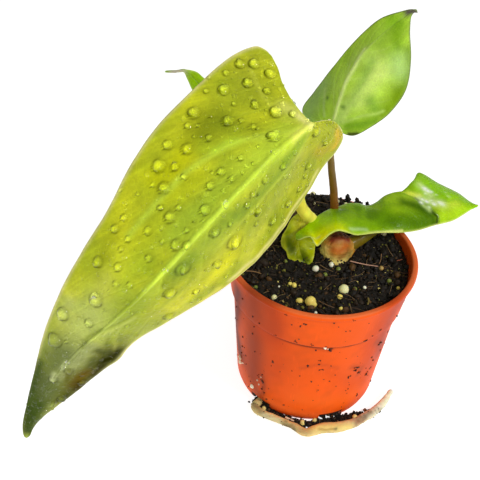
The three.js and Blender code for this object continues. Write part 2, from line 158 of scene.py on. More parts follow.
def distance_to(points: Array, track: Array) -> Array:
    """The distance from each point to the nearest of the straight pieces of a track.

    The foot on a piece from a to b is a + t (b - a), with t kept between 0 and 1.

    Args:
        points: Places in mm.
        track: The corners of the track in mm.

    Returns:
        One distance in mm for each point.
    """
    if len(track) == 1:
        return np.linalg.norm(points - track[0], axis=1)
    start, way = track[:-1], np.diff(track, axis=0)
    offset = points[:, None] - start
    share = clamp((offset * way).sum(-1) / np.maximum((way * way).sum(-1), TINY))
    return np.linalg.norm(offset - share[..., None] * way, axis=2).min(1)


class Line:
    """A smooth line through given points, read by its share of length."""

    SAMPLES = 600

    def __init__(self, points: Sequence[Point]) -> None:
        """Runs a centripetal spline through the points and measures it.

        Args:
            points: Places in mm, at least two of them and no two neighbours the same.
        """
        given = np.asarray(points, float)
        ends = 2 * given[0] - given[1], 2 * given[-1] - given[-2]
        knots = np.vstack([ends[0], given, ends[1]])
        gaps = np.sqrt(np.linalg.norm(np.diff(knots, axis=0), axis=1))[:, None]
        place = np.linspace(0, len(given) - 1, self.SAMPLES)
        index = np.minimum(place.astype(int), len(given) - 2)
        t = (place - index)[:, None]
        before, here, after = gaps[index], gaps[index + 1], gaps[index + 2]
        p0, p1, p2, p3 = (knots[index + step] for step in range(4))
        leave = ((p1 - p0) / before - (p2 - p0) / (before + here) + (p2 - p1) / here) * here
        arrive = ((p2 - p1) / here - (p3 - p1) / (here + after) + (p3 - p2) / after) * here
        self.track = (
            p1 + leave * t + (3 * (p2 - p1) - 2 * leave - arrive) * t**2
            + (2 * (p1 - p2) + leave + arrive) * t**3
        )
        steps = np.linalg.norm(np.diff(self.track, axis=0), axis=1)
        self.measure = np.concatenate([[0.0], np.cumsum(steps)])

    @property
    def length(self) -> float:
        """The line's whole length in mm."""
        return float(self.measure[-1])

    def at(self, shares: Array) -> Array:
        """Points at these shares of the length."""
        wanted = np.asarray(shares) * self.length
        return np.stack([np.interp(wanted, self.measure, axis) for axis in self.track.T], axis=-1)

    def direction(self, shares: Array) -> Array:
        """The unit tangent at these shares of the length."""
        step = 0.004
        return unit(self.at(clamp(shares + step)) - self.at(clamp(shares - step)))


@dataclass
class Shape:
    """A surface as whole arrays.

    Attributes:
        points: Places in mm, one row each.
        faces: Triangles, as rows of three indices, that face out.
        tint: A linear colour for each point.
        place: Two surface coordinates for each point, kept as a UV map.
    """

    points: Array
    faces: Array
    tint: Array
    place: Array | None = None

    def welded(self) -> "Shape":
        """Makes points at one place one, and drops triangles that become flat.

        Returns:
            The closed-up surface.
        """
        steps_in_a_mm = 1e5
        keys = np.round(self.points * steps_in_a_mm).astype(np.int64)
        _, first, inverse = np.unique(keys, axis=0, return_index=True, return_inverse=True)
        faces = inverse.reshape(-1)[self.faces]
        a, b, c = faces.T
        faces = faces[(a != b) & (b != c) & (a != c)]
        place = None if self.place is None else self.place[first]
        return Shape(self.points[first], faces, self.tint[first], place)

    def normals(self) -> Array:
        """Works out normals, each the mean of its faces' normals weighted by area.

        Returns:
            A unit vector for each point.
        """
        a, b, c = (self.points[self.faces[:, corner]] for corner in range(3))
        around = np.cross(b - a, c - a)
        total = np.zeros_like(self.points)
        for corner in range(3):
            np.add.at(total, self.faces[:, corner], around)
        return unit(total)

    def tree(self) -> BVHTree:
        """A search tree of the surface, in mm."""
        return BVHTree.FromPolygons(self.points.tolist(), self.faces.tolist())

    def piece(self, name: str, material: Material) -> bpy.types.Object:
        """Makes a smooth-shaded Blender object that rides with the pot.

        Args:
            name: The object's name.
            material: Its finish.

        Returns:
            The object, at the origin with its place in its mesh.
        """
        mesh = bpy.data.meshes.new(name)
        mesh.from_pydata((self.points * MM).tolist(), [], self.faces.tolist())
        mesh.polygons.foreach_set("use_smooth", np.ones(len(self.faces), bool))
        colours = np.hstack([clamp(self.tint), np.ones((len(self.points), 1))])
        layer = mesh.attributes.new("tint", "FLOAT_COLOR", "POINT")
        layer.data.foreach_set("color", colours.astype(np.float32).ravel())
        if self.place is not None:
            uv = mesh.uv_layers.new(name="surface")
            uv.data.foreach_set("uv", self.place[self.faces.ravel()].astype(np.float32).ravel())
        mesh.materials.append(material)
        mesh.validate()
        mesh.update()
        piece = bpy.data.objects.new(name, mesh)
        bpy.context.scene.collection.objects.link(piece)
        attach(piece, BODY)
        LOG.info("%s: %d triangles", name, len(self.faces))
        return piece

    def stand_in(self, node: str, part: str, slot: str, material: Material) -> bpy.types.Object:
        """Makes the piece that stands for a node of the frame.

        Args:
            node: The node.
            part: What the piece's name says after the node's.
            slot: The name of its material slot; not used.
            material: Its finish.

        Returns:
            The object.
        """
        piece = self.piece(f"{node}_{part}", material)
        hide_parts(node)
        return piece


def together(shapes: Sequence[Shape]) -> Shape:
    """Joins surfaces into one, with no point shared between them.

    Args:
        shapes: The surfaces.

    Returns:
        One surface, without a place on it for its points.
    """
    starts = np.cumsum([0] + [len(shape.points) for shape in shapes[:-1]])
    return Shape(
        np.vstack([shape.points for shape in shapes]),
        np.vstack([shape.faces + start for shape, start in zip(shapes, starts)]),
        np.vstack([shape.tint for shape in shapes]),
    )


def grid_faces(rows: int, columns: int, round_: bool = False) -> Array:
    """Triangles over a grid of points that is stored row by row.

    Args:
        rows: Rows of points.
        columns: Points in a row.
        round_: Whether the last column joins the first again.

    Returns:
        Rows of three indices. They face the side from which rows run down and columns right.
    """
    index = np.arange(rows * columns).reshape(rows, columns)
    if round_:
        index = np.hstack([index, index[:, :1]])
    a, b = index[:-1, :-1].ravel(), index[1:, :-1].ravel()
    c, d = index[1:, 1:].ravel(), index[:-1, 1:].ravel()
    return np.vstack([np.stack([a, b, c], 1), np.stack([a, c, d], 1)])


class Shader:
    """Builds the node tree of one material round a Principled shader.

    SHARE, FIRST, SECOND and MIXED are the numbers of a Mix node's sockets for colours.
    """

    SHARE, FIRST, SECOND, MIXED = 0, 6, 7, 2

    def __init__(self, name: str, **sockets: object) -> None:
        """Starts a material.

        Args:
            name: The material's name.
            **sockets: Constant values of the shader's sockets, with _ for a space.
        """
        self.material = bpy.data.materials.new(name)
        self.material.use_nodes = True
        self.nodes = self.material.node_tree.nodes
        self.links = self.material.node_tree.links
        self.surface = self.nodes["Principled BSDF"]
        for socket, value in sockets.items():
            title = socket.replace("_", " ").title().replace("Ior", "IOR")
            self.surface.inputs[title].default_value = value
        self.space = self.nodes.new("ShaderNodeTexCoord").outputs["Object"]

    def add(self, kind: str, values: dict | None = None, **settings: object) -> bpy.types.Node:
        """Adds a node, sets it up and joins it.

        Args:
            kind: The node's type without its ShaderNode prefix.
            values: Socket name or number to a constant, or to the socket that feeds it.
            **settings: The node's own settings.

        Returns:
            The node.
        """
        node = self.nodes.new("ShaderNode" + kind)
        for setting, value in settings.items():
            setattr(node, setting, value)
        for socket, value in (values or {}).items():
            if isinstance(value, Socket):
                self.links.new(value, node.inputs[socket])
            else:
                node.inputs[socket].default_value = value
        return node

    def noise(self, size: float, detail: float = 3, roughness: float = 0.55) -> Socket:
        """Cloudy noise from 0 to 1 whose clouds are about size mm across."""
        values = {"Vector": self.space, "Scale": 1 / (size * MM), "Detail": detail}
        return self.add("TexNoise", {**values, "Roughness": roughness}).outputs["Fac"]

    def cells(self, size: float) -> Socket:
        """The distance to the nearest cell wall, for cells about size mm across."""
        values = {"Vector": self.space, "Scale": 1 / (size * MM)}
        return self.add("TexVoronoi", values, feature="DISTANCE_TO_EDGE").outputs["Distance"]

    def ramp(self, value: Socket, low: float, high: float,
             start: float = 0, end: float = 1) -> Socket:
        """Takes low..high to start..end along a straight line, and holds the ends."""
        values = {0: value, 1: low, 2: high, 3: start, 4: end}
        return self.add("MapRange", values).outputs[0]

    def maths(self, operation: str, first: object, second: object) -> Socket:
        """One sum, such as ADD or MULTIPLY, of two values."""
        return self.add("Math", {0: first, 1: second}, operation=operation).outputs[0]

    def tint(self) -> Socket:
        """The colour that the piece's points hold."""
        return self.add("Attribute", attribute_name="tint").outputs["Color"]

    def shaded(self, colour: Socket, share: Socket,
               low: float, high: float) -> Socket:
        """Makes a colour darker or lighter.

        Args:
            colour: The colour.
            share: What decides it, from 0 to 1.
            low: The factor on the colour where share is 0.
            high: The factor where share is 1.

        Returns:
            The new colour.
        """
        factor = self.ramp(share, 0, 1, low, high)
        grey = self.add("CombineColor", {0: factor, 1: factor, 2: factor}).outputs[0]
        values = {self.SHARE: 1.0, self.FIRST: colour, self.SECOND: grey}
        return self.add("Mix", values, data_type="RGBA", blend_type="MULTIPLY").outputs[self.MIXED]

    def finish(self, colour: Socket, height: Socket | None = None,
               depth: float = 0.1, roughness: Socket | None = None) -> Material:
        """Joins colour, bump and roughness to the shader.

        Args:
            colour: The base colour.
            height: A height from 0 to 1, raised to depth mm as bump.
            depth: The height in mm.
            roughness: The roughness, where it varies.

        Returns:
            The finished material.
        """
        self.links.new(colour, self.surface.inputs["Base Color"])
        if height is not None:
            bump = self.add("Bump", {"Height": height, "Distance": depth * MM, "Strength": 1.0})
            self.links.new(bump.outputs[0], self.surface.inputs["Normal"])
        if roughness is not None:
            self.links.new(roughness, self.surface.inputs["Roughness"])
        return self.material


@dataclass(frozen=True)
class PhotoView:
    """The photograph's camera: a 480 x 480 frame, seen a little from above and the left.

    Attributes:
        frame: Pixels along each side of the frame.
        focal: The focal length in pixels.
        place: Where the camera stands, in mm.
        down: How far it looks down, in degrees.
        roll: How far it is turned about its own axis, in degrees.
        sensor: The width of Blender's sensor in mm.
    """

    frame: int = 480
    focal: float = 700.0
    place: Point = (-25.5, -168.8, 193.2)
    down: float = 38.9
    roll: float = 3.25
    sensor: float = 36.0

    def axes(self) -> Array:
        """Works out how the camera is turned.

        Returns:
            Its right, up and back directions, as the columns of a matrix.
        """
        down, roll = math.radians(self.down), math.radians(self.roll)
        right = np.array([1.0, 0.0, 0.0])
        forward = np.array([0.0, math.cos(down), -math.sin(down)])
        up = np.cross(right, forward)
        turned = math.cos(roll) * right + math.sin(roll) * up
        return np.stack([turned, math.cos(roll) * up - math.sin(roll) * right, -forward], axis=1)

    def onto(self, pixels: Sequence[Sequence], tree: BVHTree) -> tuple[Array, Array, Array]:
        """Follows pixels of the photograph to the first surface behind them.

        Args:
            pixels: Places in the photograph, as the first two values of each row.
            tree: The surface, in mm.

        Returns:
            For the pixels that meet it: the places and normals there, and the mm in one pixel.
        """
        half, axes = self.frame / 2, self.axes()
        found = []
        for across, down, *_ in pixels:
            way = axes @ np.array([(across - half) / self.focal, (half - down) / self.focal, -1.0])
            spot, normal, _, reach = tree.ray_cast(Vector(self.place), Vector(way))
            if spot is not None:
                found.append((*spot, *normal, reach / self.focal))
        hits = np.array(found).reshape(-1, 7)
        return hits[:, :3], hits[:, 3:6], hits[:, 6]

    def camera(self) -> None:
        """Puts the camera into the scene."""
        data = bpy.data.cameras.new("camera")
        data.sensor_width = self.sensor
        data.lens = self.sensor * self.focal / self.frame
        data.clip_start = 10 * MM
        camera = bpy.data.objects.new("camera", data)
        turn = Matrix(self.axes().tolist()).to_4x4()
        camera.matrix_world = Matrix.Translation(Vector(self.place) * MM) @ turn
        bpy.context.scene.collection.objects.link(camera)
        bpy.context.scene.camera = camera


VIEW = PhotoView()


@dataclass(frozen=True)
class Stroke:
    """A soft mark on a surface, drawn along pixels of the photograph.

    Attributes:
        pixels: Where it runs; one pixel makes a round spot.
        width: How far from its line it fades, in mm.
        colour: Its linear colour.
        strength: How much of that colour it gives at its line.
        height: How far it raises the surface, in mm.
    """

    pixels: tuple[Pixel, ...]
    width: float
    colour: Point
    strength: float = 0.7
    height: float = 0.0

    def weight(self, points: Array, tree: BVHTree) -> Array:
        """Works out how strong the stroke is: exp(-(distance / width)^2).

        Args:
            points: Places in mm.
            tree: The surface that the stroke is drawn on.

        Returns:
            A share from 0 to 1 for each point.
        """
        track, _, _ = VIEW.onto(self.pixels, tree)
        if not len(track):
            return np.zeros(len(points))
        return bell(distance_to(points, track), 0, self.width)


def painted(shape: Shape, strokes: Sequence[Stroke]) -> Array:
    """Lays strokes over a shape's tint.

    Args:
        shape: The surface.
        strokes: The marks, from the lowest up.

    Returns:
        The new tint.
    """
    tint, tree = shape.tint, shape.tree()
    for stroke in strokes:
        tint = blend(tint, stroke.colour, stroke.strength * stroke.weight(shape.points, tree))
    return tint


def marks(*rows: tuple) -> tuple[Stroke, ...]:
    """Makes strokes from rows of plain numbers.

    Args:
        rows: Each stroke's pixels, width, colour from 0 to 255, strength and, if raised, height.

    Returns:
        The strokes in the same order.
    """
    return tuple(
        Stroke(pixels, width, srgb(*colour), *rest) for pixels, width, colour, *rest in rows
    )


@dataclass(frozen=True)
class WaterFinish:
    """Clear water.

    Attributes:
        name: The material's name.
        bend: How strongly water bends light.
    """

    name: str = "clear_water"
    bend: float = 1.33

    def material(self) -> Material:
        """Makes water with a faint green cast that comes and goes, and the drops' painted rim shade.

        Returns:
            The material.
        """
        shader = Shader(self.name, roughness=0.0, ior=self.bend, transmission_weight=1.0)
        colour = shader.shaded(shader.tint(), shader.noise(4.0), 0.94, 1.0)
        return shader.finish(colour)


@dataclass(frozen=True)
class LaidWater:
    """Where drops lie on a leaf.

    Attributes:
        places: The middles of their bases in mm.
        normals: Which way they stand.
        widths: Their sizes across the slope in mm.
        lengths: Their sizes down the slope in mm.
        light: The direction of the main light.
        large: How many of them, from the first, are large.
    """

    places: Array
    normals: Array
    widths: Array
    lengths: Array
    light: Point
    large: int

    def away(self) -> Array:
        """Works out which way along the leaf points away from the light.

        Returns:
            A unit vector for each drop.
        """
        light = unit(np.array(self.light))
        along = light - self.normals * (self.normals @ light)[:, None]
        return -unit(along)

    def wet(self, leaf: Shape) -> Array:
        """The leaf's tint with painted light where each large drop gathers it and painted shade at
        its rim.

        With rho the distance from the drop's middle in radii, the painted light is
        exp(-d^2 / 0.25), where d is the distance from a point 0.28 radii away from the light, and
        the painted shade is exp(-((rho - 1.03) / 0.17)^2), strongest on the side away from it.

        Args:
            leaf: The leaf, whose upper face comes first in its points.

        Returns:
            The tint of all its points.
        """
        reach, focus_at, focus_spread, rim, rim_width = 1.6, 0.28, 0.25, 1.03, 0.17
        gathered, brighter, darker = np.array([0.05, 0.07, 0.0]), 0.4, 0.78
        tint = leaf.tint.copy()
        upper = leaf.points[: len(leaf.points) // 2]
        radii = np.maximum(self.widths, self.lengths) / 2
        for place, away, radius in zip(self.places[: self.large], self.away(), radii):
            offset = (upper - place) / radius
            rho = np.linalg.norm(offset, axis=1)
            near = np.flatnonzero(rho < reach)
            focus = np.exp(-(((offset[near] - focus_at * away) ** 2).sum(1) / focus_spread))
            side = 0.5 + 0.5 * (offset[near] @ away) / np.maximum(rho[near], 0.1)
            shade = bell(rho[near], rim, rim_width) * (0.25 + 0.75 * side)
            lit = tint[near] * (1 - darker * shade)[:, None] * (1 + brighter * focus)[:, None]
            tint[near] = lit + focus[:, None] * gathered
        return tint


@dataclass(frozen=True)
class WaterDrops:
    """Drops of water that lie on a blade.

    Attributes:
        spots: For each large drop its place in the photograph and its pixels across, and down
            where that differs.
        small: How many small drops are strewn between them.
        small_sizes: The least and most width of a small drop in mm.
        large_mesh: Rings and sides of a large drop.
        small_mesh: Rings and sides of a small one.
        rise: A drop's height as a share of its width.
        sag: How much higher it stands at its lower edge, as a share.
        lobes: How uneven its outline is, as a share of its radius.
        tail: How far it may be drawn out uphill, as a share of its radius.
        sink: How far its flat base lies in the leaf, in mm.
        light: The direction of the main light.
        rim: The colour of the painted shade at a drop's rim, which darkens the leaf seen through it.
        seed: Picks the small drops.
        finish: How the water looks.
    """

    spots: tuple[tuple[float, ...], ...]
    small: int = 600
    small_sizes: tuple[float, float] = (0.5, 1.9)
    large_mesh: tuple[int, int] = (9, 24)
    small_mesh: tuple[int, int] = (4, 9)
    rise: float = 0.38
    sag: float = 0.28
    lobes: float = 0.14
    tail: float = 0.34
    sink: float = 0.12
    light: Point = (0.62, -0.3, 0.7)
    rim: Point = srgb(112, 118, 16)
    seed: int = 11
    finish: WaterFinish = WaterFinish()

    def laid(self, leaf: Shape) -> LaidWater:
        """Finds where each drop lies: the large ones by their pixels, the small ones at random.

        Args:
            leaf: The leaf that they lie on.

        Returns:
            Their places and sizes.
        """
        longer = 1.08
        places, normals, scale = VIEW.onto(self.spots, leaf.tree())
        across, down = np.array([(spot[2], spot[-1]) for spot in self.spots]).T * scale
        bases, stand, sizes = self.strewn(leaf, places, np.maximum(across, down) / 2)
        return LaidWater(
            np.vstack([places, bases]),
            np.vstack([normals, stand]),
            np.concatenate([across, sizes]),
            np.concatenate([down, sizes * longer]), self.light, len(places),
        )

    def domes(self, water: LaidWater, picks: slice, mesh: tuple[int, int], shade: float) -> Shape:
        """Closed drops that sag a little down the slope they lie on.

        With rho from 0 in the middle to 1 at the rim, a drop's height is
        rise width (1 - rho^2)^0.55 (1 + sag rho cos(angle)), where the angle is 0 downhill. Its
        tint takes painted shade in the rim's colour from rho 0.42 outwards, most on the side away
        from light.

        Args:
            water: Where the drops lie.
            picks: Which of them to make.
            mesh: Rings of points on a dome, and points in a ring.
            shade: How dark their painted rim shade is, from 0 to 1.

        Returns:
            All of them as one surface.
        """
        steepness, dark_from = 0.55, 0.42
        rings, sides = mesh
        places, normals = water.places[picks], water.normals[picks]
        width = water.widths[picks, None, None, None]
        length = water.lengths[picks, None, None, None]
        turn = circle(sides)
        rho = np.sin(np.linspace(0, np.pi / 2, rings + 1))
        down = unit(np.array([0.0, 0.0, -1.0]) + normals * normals[:, 2:] + 1e-6)
        side = np.cross(normals, down)
        height = self.rise * (1 - rho**2) ** steepness
        height = height[:, None] * (1 + self.sag * rho[:, None] * np.cos(turn))
        rho = np.concatenate([rho, [1.0, 0.0]])
        height = np.vstack([height, np.zeros((2, sides))])
        out = (
            down[:, None, None] * (rho[:, None] * np.cos(turn) / 2)[..., None]
            + side[:, None, None] * (rho[:, None] * np.sin(turn) / 2)[..., None]
        )
        rng = np.random.default_rng(self.seed)
        lobes = rng.normal(size=(2, len(places), 1, 1)) * self.lobes
        phase = rng.uniform(0, 6, (2, len(places), 1, 1))
        uneven = 1 + lobes[0] * np.cos(2 * turn + phase[0]) + lobes[1] * np.cos(3 * turn + phase[1])
        drawn = np.clip(rng.normal(size=(len(places), 1, 1)), 0, 2)
        tail = clamp(-np.cos(turn)) ** 3 * drawn * self.tail
        uneven = uneven[..., None] * rho[:, None, None]
        points = (
            places[:, None, None]
            + down[:, None, None] * (uneven * (np.cos(turn) / 2 * (1 + tail))[..., None]) * length
            + side[:, None, None] * (uneven * (np.sin(turn) / 2)[..., None]) * width
            + normals[:, None, None] * height[..., None] * np.minimum(width, length)
        )
        points[:, -2:] -= (normals * self.sink)[:, None, None]
        far = (out * water.away()[picks, None, None]).sum(-1) * 2
        dark = smooth((rho - dark_from) / dark_from)[None, :, None] * clamp(0.5 + 0.6 * far)
        tint = blend(np.ones((*dark.shape, 3)), self.rim, shade * dark)
        rows = rings + 3
        starts = np.arange(len(places))[:, None, None] * rows * sides
        faces = (grid_faces(rows, sides, round_=True)[None] + starts).reshape(-1, 3)
        return Shape(points.reshape(-1, 3), faces, tint.reshape(-1, 3)).welded()

    def strewn(self, leaf: Shape, taken: Array, reach: Array) -> tuple[Array, Array, Array]:
        """Picks free places on the blade's upper face for the small drops.

        Args:
            leaf: The leaf that they lie on.
            taken: The middles of the large drops in mm.
            reach: Their radii in mm.

        Returns:
            The small drops' places, normals and sizes.
        """
        inside, first, last, room = 0.43, 0.06, 0.95, 0.7
        rng = np.random.default_rng(self.seed)
        across, share = leaf.place[: len(leaf.points) // 2].T
        upper = np.flatnonzero((np.abs(across - 0.5) < inside) & (share > first) & (share < last))
        normals = leaf.normals()
        picks = rng.choice(upper, self.small * 3, replace=False)
        low, high = self.small_sizes
        sizes = low + (high - low) * rng.random(len(picks)) ** 2.0
        spots, radii, kept = list(taken), list(reach), []
        for pick, size in zip(picks, sizes):
            gaps = np.linalg.norm(np.array(spots) - leaf.points[pick], axis=1) - np.array(radii)
            if gaps.min() > size * room and len(kept) < self.small:
                kept.append((pick, size))
                spots.append(leaf.points[pick])
                radii.append(size / 2)
        index = np.array([pick for pick, _ in kept])
        return leaf.points[index], normals[index], np.array([size for _, size in kept])

    def build(self, name: str, water: LaidWater) -> None:
        """Makes the drops as one piece, which casts no shadow: clear water lets light through.

        Args:
            name: The piece's name.
            water: Where they lie.
        """
        large = self.domes(water, slice(0, water.large), self.large_mesh, 1.0)
        little = self.domes(water, slice(water.large, None), self.small_mesh, 0.6)
        piece = together([large, little]).piece(name, self.finish.material())
        piece.visible_shadow = False


@dataclass(frozen=True)
class LeafFinish:
    """How a blade looks.

    Attributes:
        name: The material's name.
        base: The blade's main colour.
        second: The colour that comes and goes over it in clouds.
        third: A darker colour in smaller clouds.
        vein: The colour of the midrib and the side veins.
        edge: The colour of the margin.
        under: The colour of the underside.
        clouds: How strong the second colour's clouds are.
        roughness: How rough the skin is.
        shine: How strongly the skin reflects, with 0.5 for most things.
        coat: How much wet shine lies on it.
        bleed: How far red, green and blue light travel in it, against each other.
        net: The size of the meshes of its finest veins, in mm.
        cloud: The size of its patches of light and dark, in mm.
        pore: The size of its pores, in mm.
        wrinkle: The size of its wrinkles, in mm.
        depth: How deep the bump is, in mm.
    """

    name: str
    base: Point
    second: Point
    third: Point
    vein: Point
    edge: Point
    under: Point
    clouds: float = 0.5
    roughness: float = 0.38
    shine: float = 0.2
    coat: float = 0.05
    bleed: Point = (0.8, 1.0, 0.2)
    net: float = 1.5
    cloud: float = 3.0
    pore: float = 0.35
    wrinkle: float = 1.6
    depth: float = 0.09

    def material(self) -> Material:
        """A leaf skin with pores, wrinkles, net veins and a satin shine that dark patches lack.

        Returns:
            The material.
        """
        shader = Shader(
            self.name, subsurface_weight=0.1, subsurface_scale=0.0008, coat_roughness=0.12, ior=1.42,
        )
        shader.surface.inputs["Subsurface Radius"].default_value = self.bleed
        net = shader.ramp(shader.cells(self.net), 0, 0.12)
        cloud = shader.noise(self.cloud, 5, 0.6)
        grain = shader.noise(self.pore, 2)
        colour = shader.shaded(shader.tint(), cloud, 0.74, 1.26)
        colour = shader.shaded(colour, net, 1.08, 1.0)
        colour = shader.shaded(colour, grain, 0.9, 1.1)
        meshes, pores = shader.ramp(net, 0, 1, 0, 0.5), shader.ramp(grain, 0, 1, 0, 0.3)
        height = shader.maths("ADD", meshes, pores)
        wrinkles = shader.ramp(shader.noise(self.wrinkle, 4), 0, 1, 0, 0.9)
        height = shader.maths("ADD", height, wrinkles)
        green = shader.add("SeparateColor", {0: shader.tint()}).outputs[1]
        for socket, value in (("Specular IOR Level", self.shine), ("Coat Weight", self.coat)):
            shine = shader.ramp(green, 0.02, 0.3, 0, value)
            shader.links.new(shine, shader.surface.inputs[socket])
        rough = shader.ramp(cloud, 0.3, 0.7, self.roughness - 0.08, self.roughness + 0.12)
        return shader.finish(colour, height, self.depth, rough)


@dataclass(frozen=True)
class Blade:
    """A leaf blade: two halves between the midrib and a margin, with veins and strokes.

    The first rows of a half fan round its lobe and the others follow the midrib, as in the solid
    that it stands for. A left half may start on an inner lobe edge of its own.

    Attributes:
        node: The solid's node, and the piece's name without its ending.
        finish: How it looks.
        slot: The name of its material slot.
        face: Where the upper side looks.
        midrib: Points in mm from the petiole to the tip.
        left: The left margin, from the petiole or lobe to the tip.
        right: The right margin.
        inner: The left lobe's inner edge, or nothing.
        lobe: The share of each margin that goes round its lobe.
        lobe_rows: The share of the rows that fan round the lobes.
        bow: How far each half arches up, as a share of its width.
        wave: The height in mm and the number of the waves along the margins.
        rows: Rows of the grid.
        columns: Columns of the grid on each half.
        thickness: The blade's thickness in mm.
        rib: How far the midrib stands out of the underside, in mm.
        rib_width: Half the midrib's width at the petiole, in mm.
        laterals: How many side veins each half has.
        sweep: How far towards the tip a side vein runs on its way out, as a share of the blade.
        quilt: How deep the side veins lie in the upper face, in mm.
        vein_share: How strongly the side veins show in the colour.
        margin: How wide the pale margin is, in mm.
        halves: How much the left and the right half are painted lighter and darker, as painted light
            and shade.
        rib_end: The share of the midrib at which it has faded away.
        edge_end: The share of the rows at which the margin's colour has faded away.
        strokes: Marks on the blade: its own colours, and painted light, shade and highlights.
        drops: The water on it, if any.
    """

    node: str
    finish: LeafFinish
    slot: str
    face: Point
    midrib: tuple[Point, ...]
    left: tuple[Point, ...]
    right: tuple[Point, ...]
    lobe: tuple[float, float]
    lobe_rows: float
    bow: tuple[float, float]
    inner: tuple[Point, ...] = ()
    wave: tuple[float, float] = (0.0, 0.0)
    rows: int = 150
    columns: int = 36
    thickness: float = 0.55
    rib: float = 0.6
    rib_width: float = 0.8
    laterals: int = 8
    sweep: float = 0.18
    quilt: float = 0.12
    vein_share: float = 0.35
    margin: float = 0.55
    halves: tuple[float, float] = (1.0, 1.0)
    rib_end: float = 1.2
    edge_end: float = 1.0
    strokes: tuple[Stroke, ...] = ()
    drops: WaterDrops | None = None

    DENTS = Ripples(9, 5, 0.1)
    WIDE_CLOUDS, FINE_CLOUDS = Ripples(20, 3, 0.5), Ripples(6, 4, 0.25)
    WIDE_PATCHES, FINE_PATCHES = Ripples(15, 6, 0.8), Ripples(4, 7, 0.4)
    STREAKS = Ripples(3.2, 9, 0.11)
    RIB_RAISED, RIB_FADE = 0.3, 0.2
    EDGE_SHARE, EDGE_FADE, EDGE_THINNED = 0.85, 0.1, 0.45
    UNDER_LIGHT, UNDER_SHARE = 0.9, 0.55

    def past_lobes(self, share: Array) -> Array:
        """The share of the midrib that a row of the grid lies at: 0 for the rows of the lobes."""
        return clamp((share - self.lobe_rows) / (1 - self.lobe_rows))

    def along_vein(self, share: Array, r: Array) -> Array:
        """share - sweep r^0.9, which stays even along a side vein."""
        return share - self.sweep * r**0.9

    def half(self, side: Side) -> tuple[Array, Array, Array]:
        """The middle surface of one half.

        A point is start + r (margin - start), lifted towards the face by the bow 4 r (1 - r) and
        by a sine wave that grows towards the margin, where r goes from 0 at the start to 1.

        Args:
            side: Which half.

        Returns:
            The grid of points in mm, and for each its share along and its mm across the blade.
        """
        share = np.linspace(0, 1, self.rows + 1)
        past, before = self.past_lobes(share), clamp(share / self.lobe_rows)
        lobe = self.lobe[side.value]
        along = np.where(past > 0, lobe + (1 - lobe) * past, lobe * before)
        start = Line(self.midrib).at(past)
        if self.inner and side is Side.LEFT:
            start = np.where((past > 0)[:, None], start, Line(self.inner).at(before))
        margin = Line(self.left if side is Side.LEFT else self.right)
        across = margin.at(along) - start
        width = np.linalg.norm(across, axis=1)
        out = unit(across)
        face = np.array(self.face, float)
        lift = unit(face - out * (out @ face)[:, None])
        r = np.linspace(0, 1, self.columns + 1)
        height, count = self.wave
        bow = 4 * r * (1 - r) * (self.bow[side.value] * width * smooth(before))[:, None]
        wave = height * smooth(r) * np.sin(2 * np.pi * count * along)[:, None]
        points = start[:, None] + r[None, :, None] * across[:, None]
        points = points + lift[:, None] * (bow + wave)[..., None]
        return points, np.broadcast_to(share[:, None], bow.shape), r[None] * width[:, None]

    def middle(self) -> tuple[Shape, Array, Array]:
        """Joins the two halves.

        Returns:
            The middle surface, and for each point how much of a vein and how much of the margin
            it is.
        """
        parts, veins, edges = [], [], []
        for side in Side:
            points, share, across = self.half(side)
            width = across[:, -1:]
            r = across / np.maximum(width, 1e-6)
            faces = grid_faces(*points.shape[:2])
            if side is Side.RIGHT:
                faces = faces[:, ::-1]
            out = 0.5 if side is Side.RIGHT else -0.5
            place = np.stack([0.5 + out * r, share], -1).reshape(-1, 2)
            flat = points.reshape(-1, 3)
            parts.append(Shape(flat, faces, np.zeros_like(flat), place))
            veins.append(self.vein_map(share, across, r).ravel())
            edges.append((bell(across, width, self.margin) * (width > 1)).ravel())
        whole = together(parts)
        whole.place = np.vstack([part.place for part in parts])
        whole.tint = np.stack([np.concatenate(veins), np.concatenate(edges), whole.place[:, 1]], 1)
        whole = whole.welded()
        return whole, whole.tint[:, 0], whole.tint[:, 1]

    def vein_map(self, share: Array, across: Array, r: Array) -> Array:
        """How much of a vein each point is: 2 on the midrib and up to 1 on a side vein.

        The midrib is exp(-(mm across / its half width)^2). Side vein k leaves it at an even share
        of the blade and sweeps towards the tip, in a slight wave. Half its width falls from
        0.55 mm at the midrib to 0.3 mm at the margin.

        Args:
            share: The share of the rows, at each point.
            across: The mm from the start of the row.
            r: The same as a share of the row.

        Returns:
            One value for each point.
        """
        length = Line(self.midrib).length / (1 - self.lobe_rows)
        taper = np.clip(1.15 - self.past_lobes(share), 0.25, 1)
        fades = np.where(share < self.lobe_rows, share / self.lobe_rows, 1.0) ** 3
        rib = bell(across, 0, self.rib_width * taper) * fades
        waver = 0.012 * np.sin(9 * share + 4 * r)
        phase = self.laterals * (self.along_vein(share, r) + waver)
        gap = np.abs(phase - np.round(phase)) / self.laterals * length
        lateral = bell(gap, 0, 0.55 - 0.25 * r) * (1 - 0.75 * r) * clamp(across)
        return np.maximum(2 * rib, lateral)

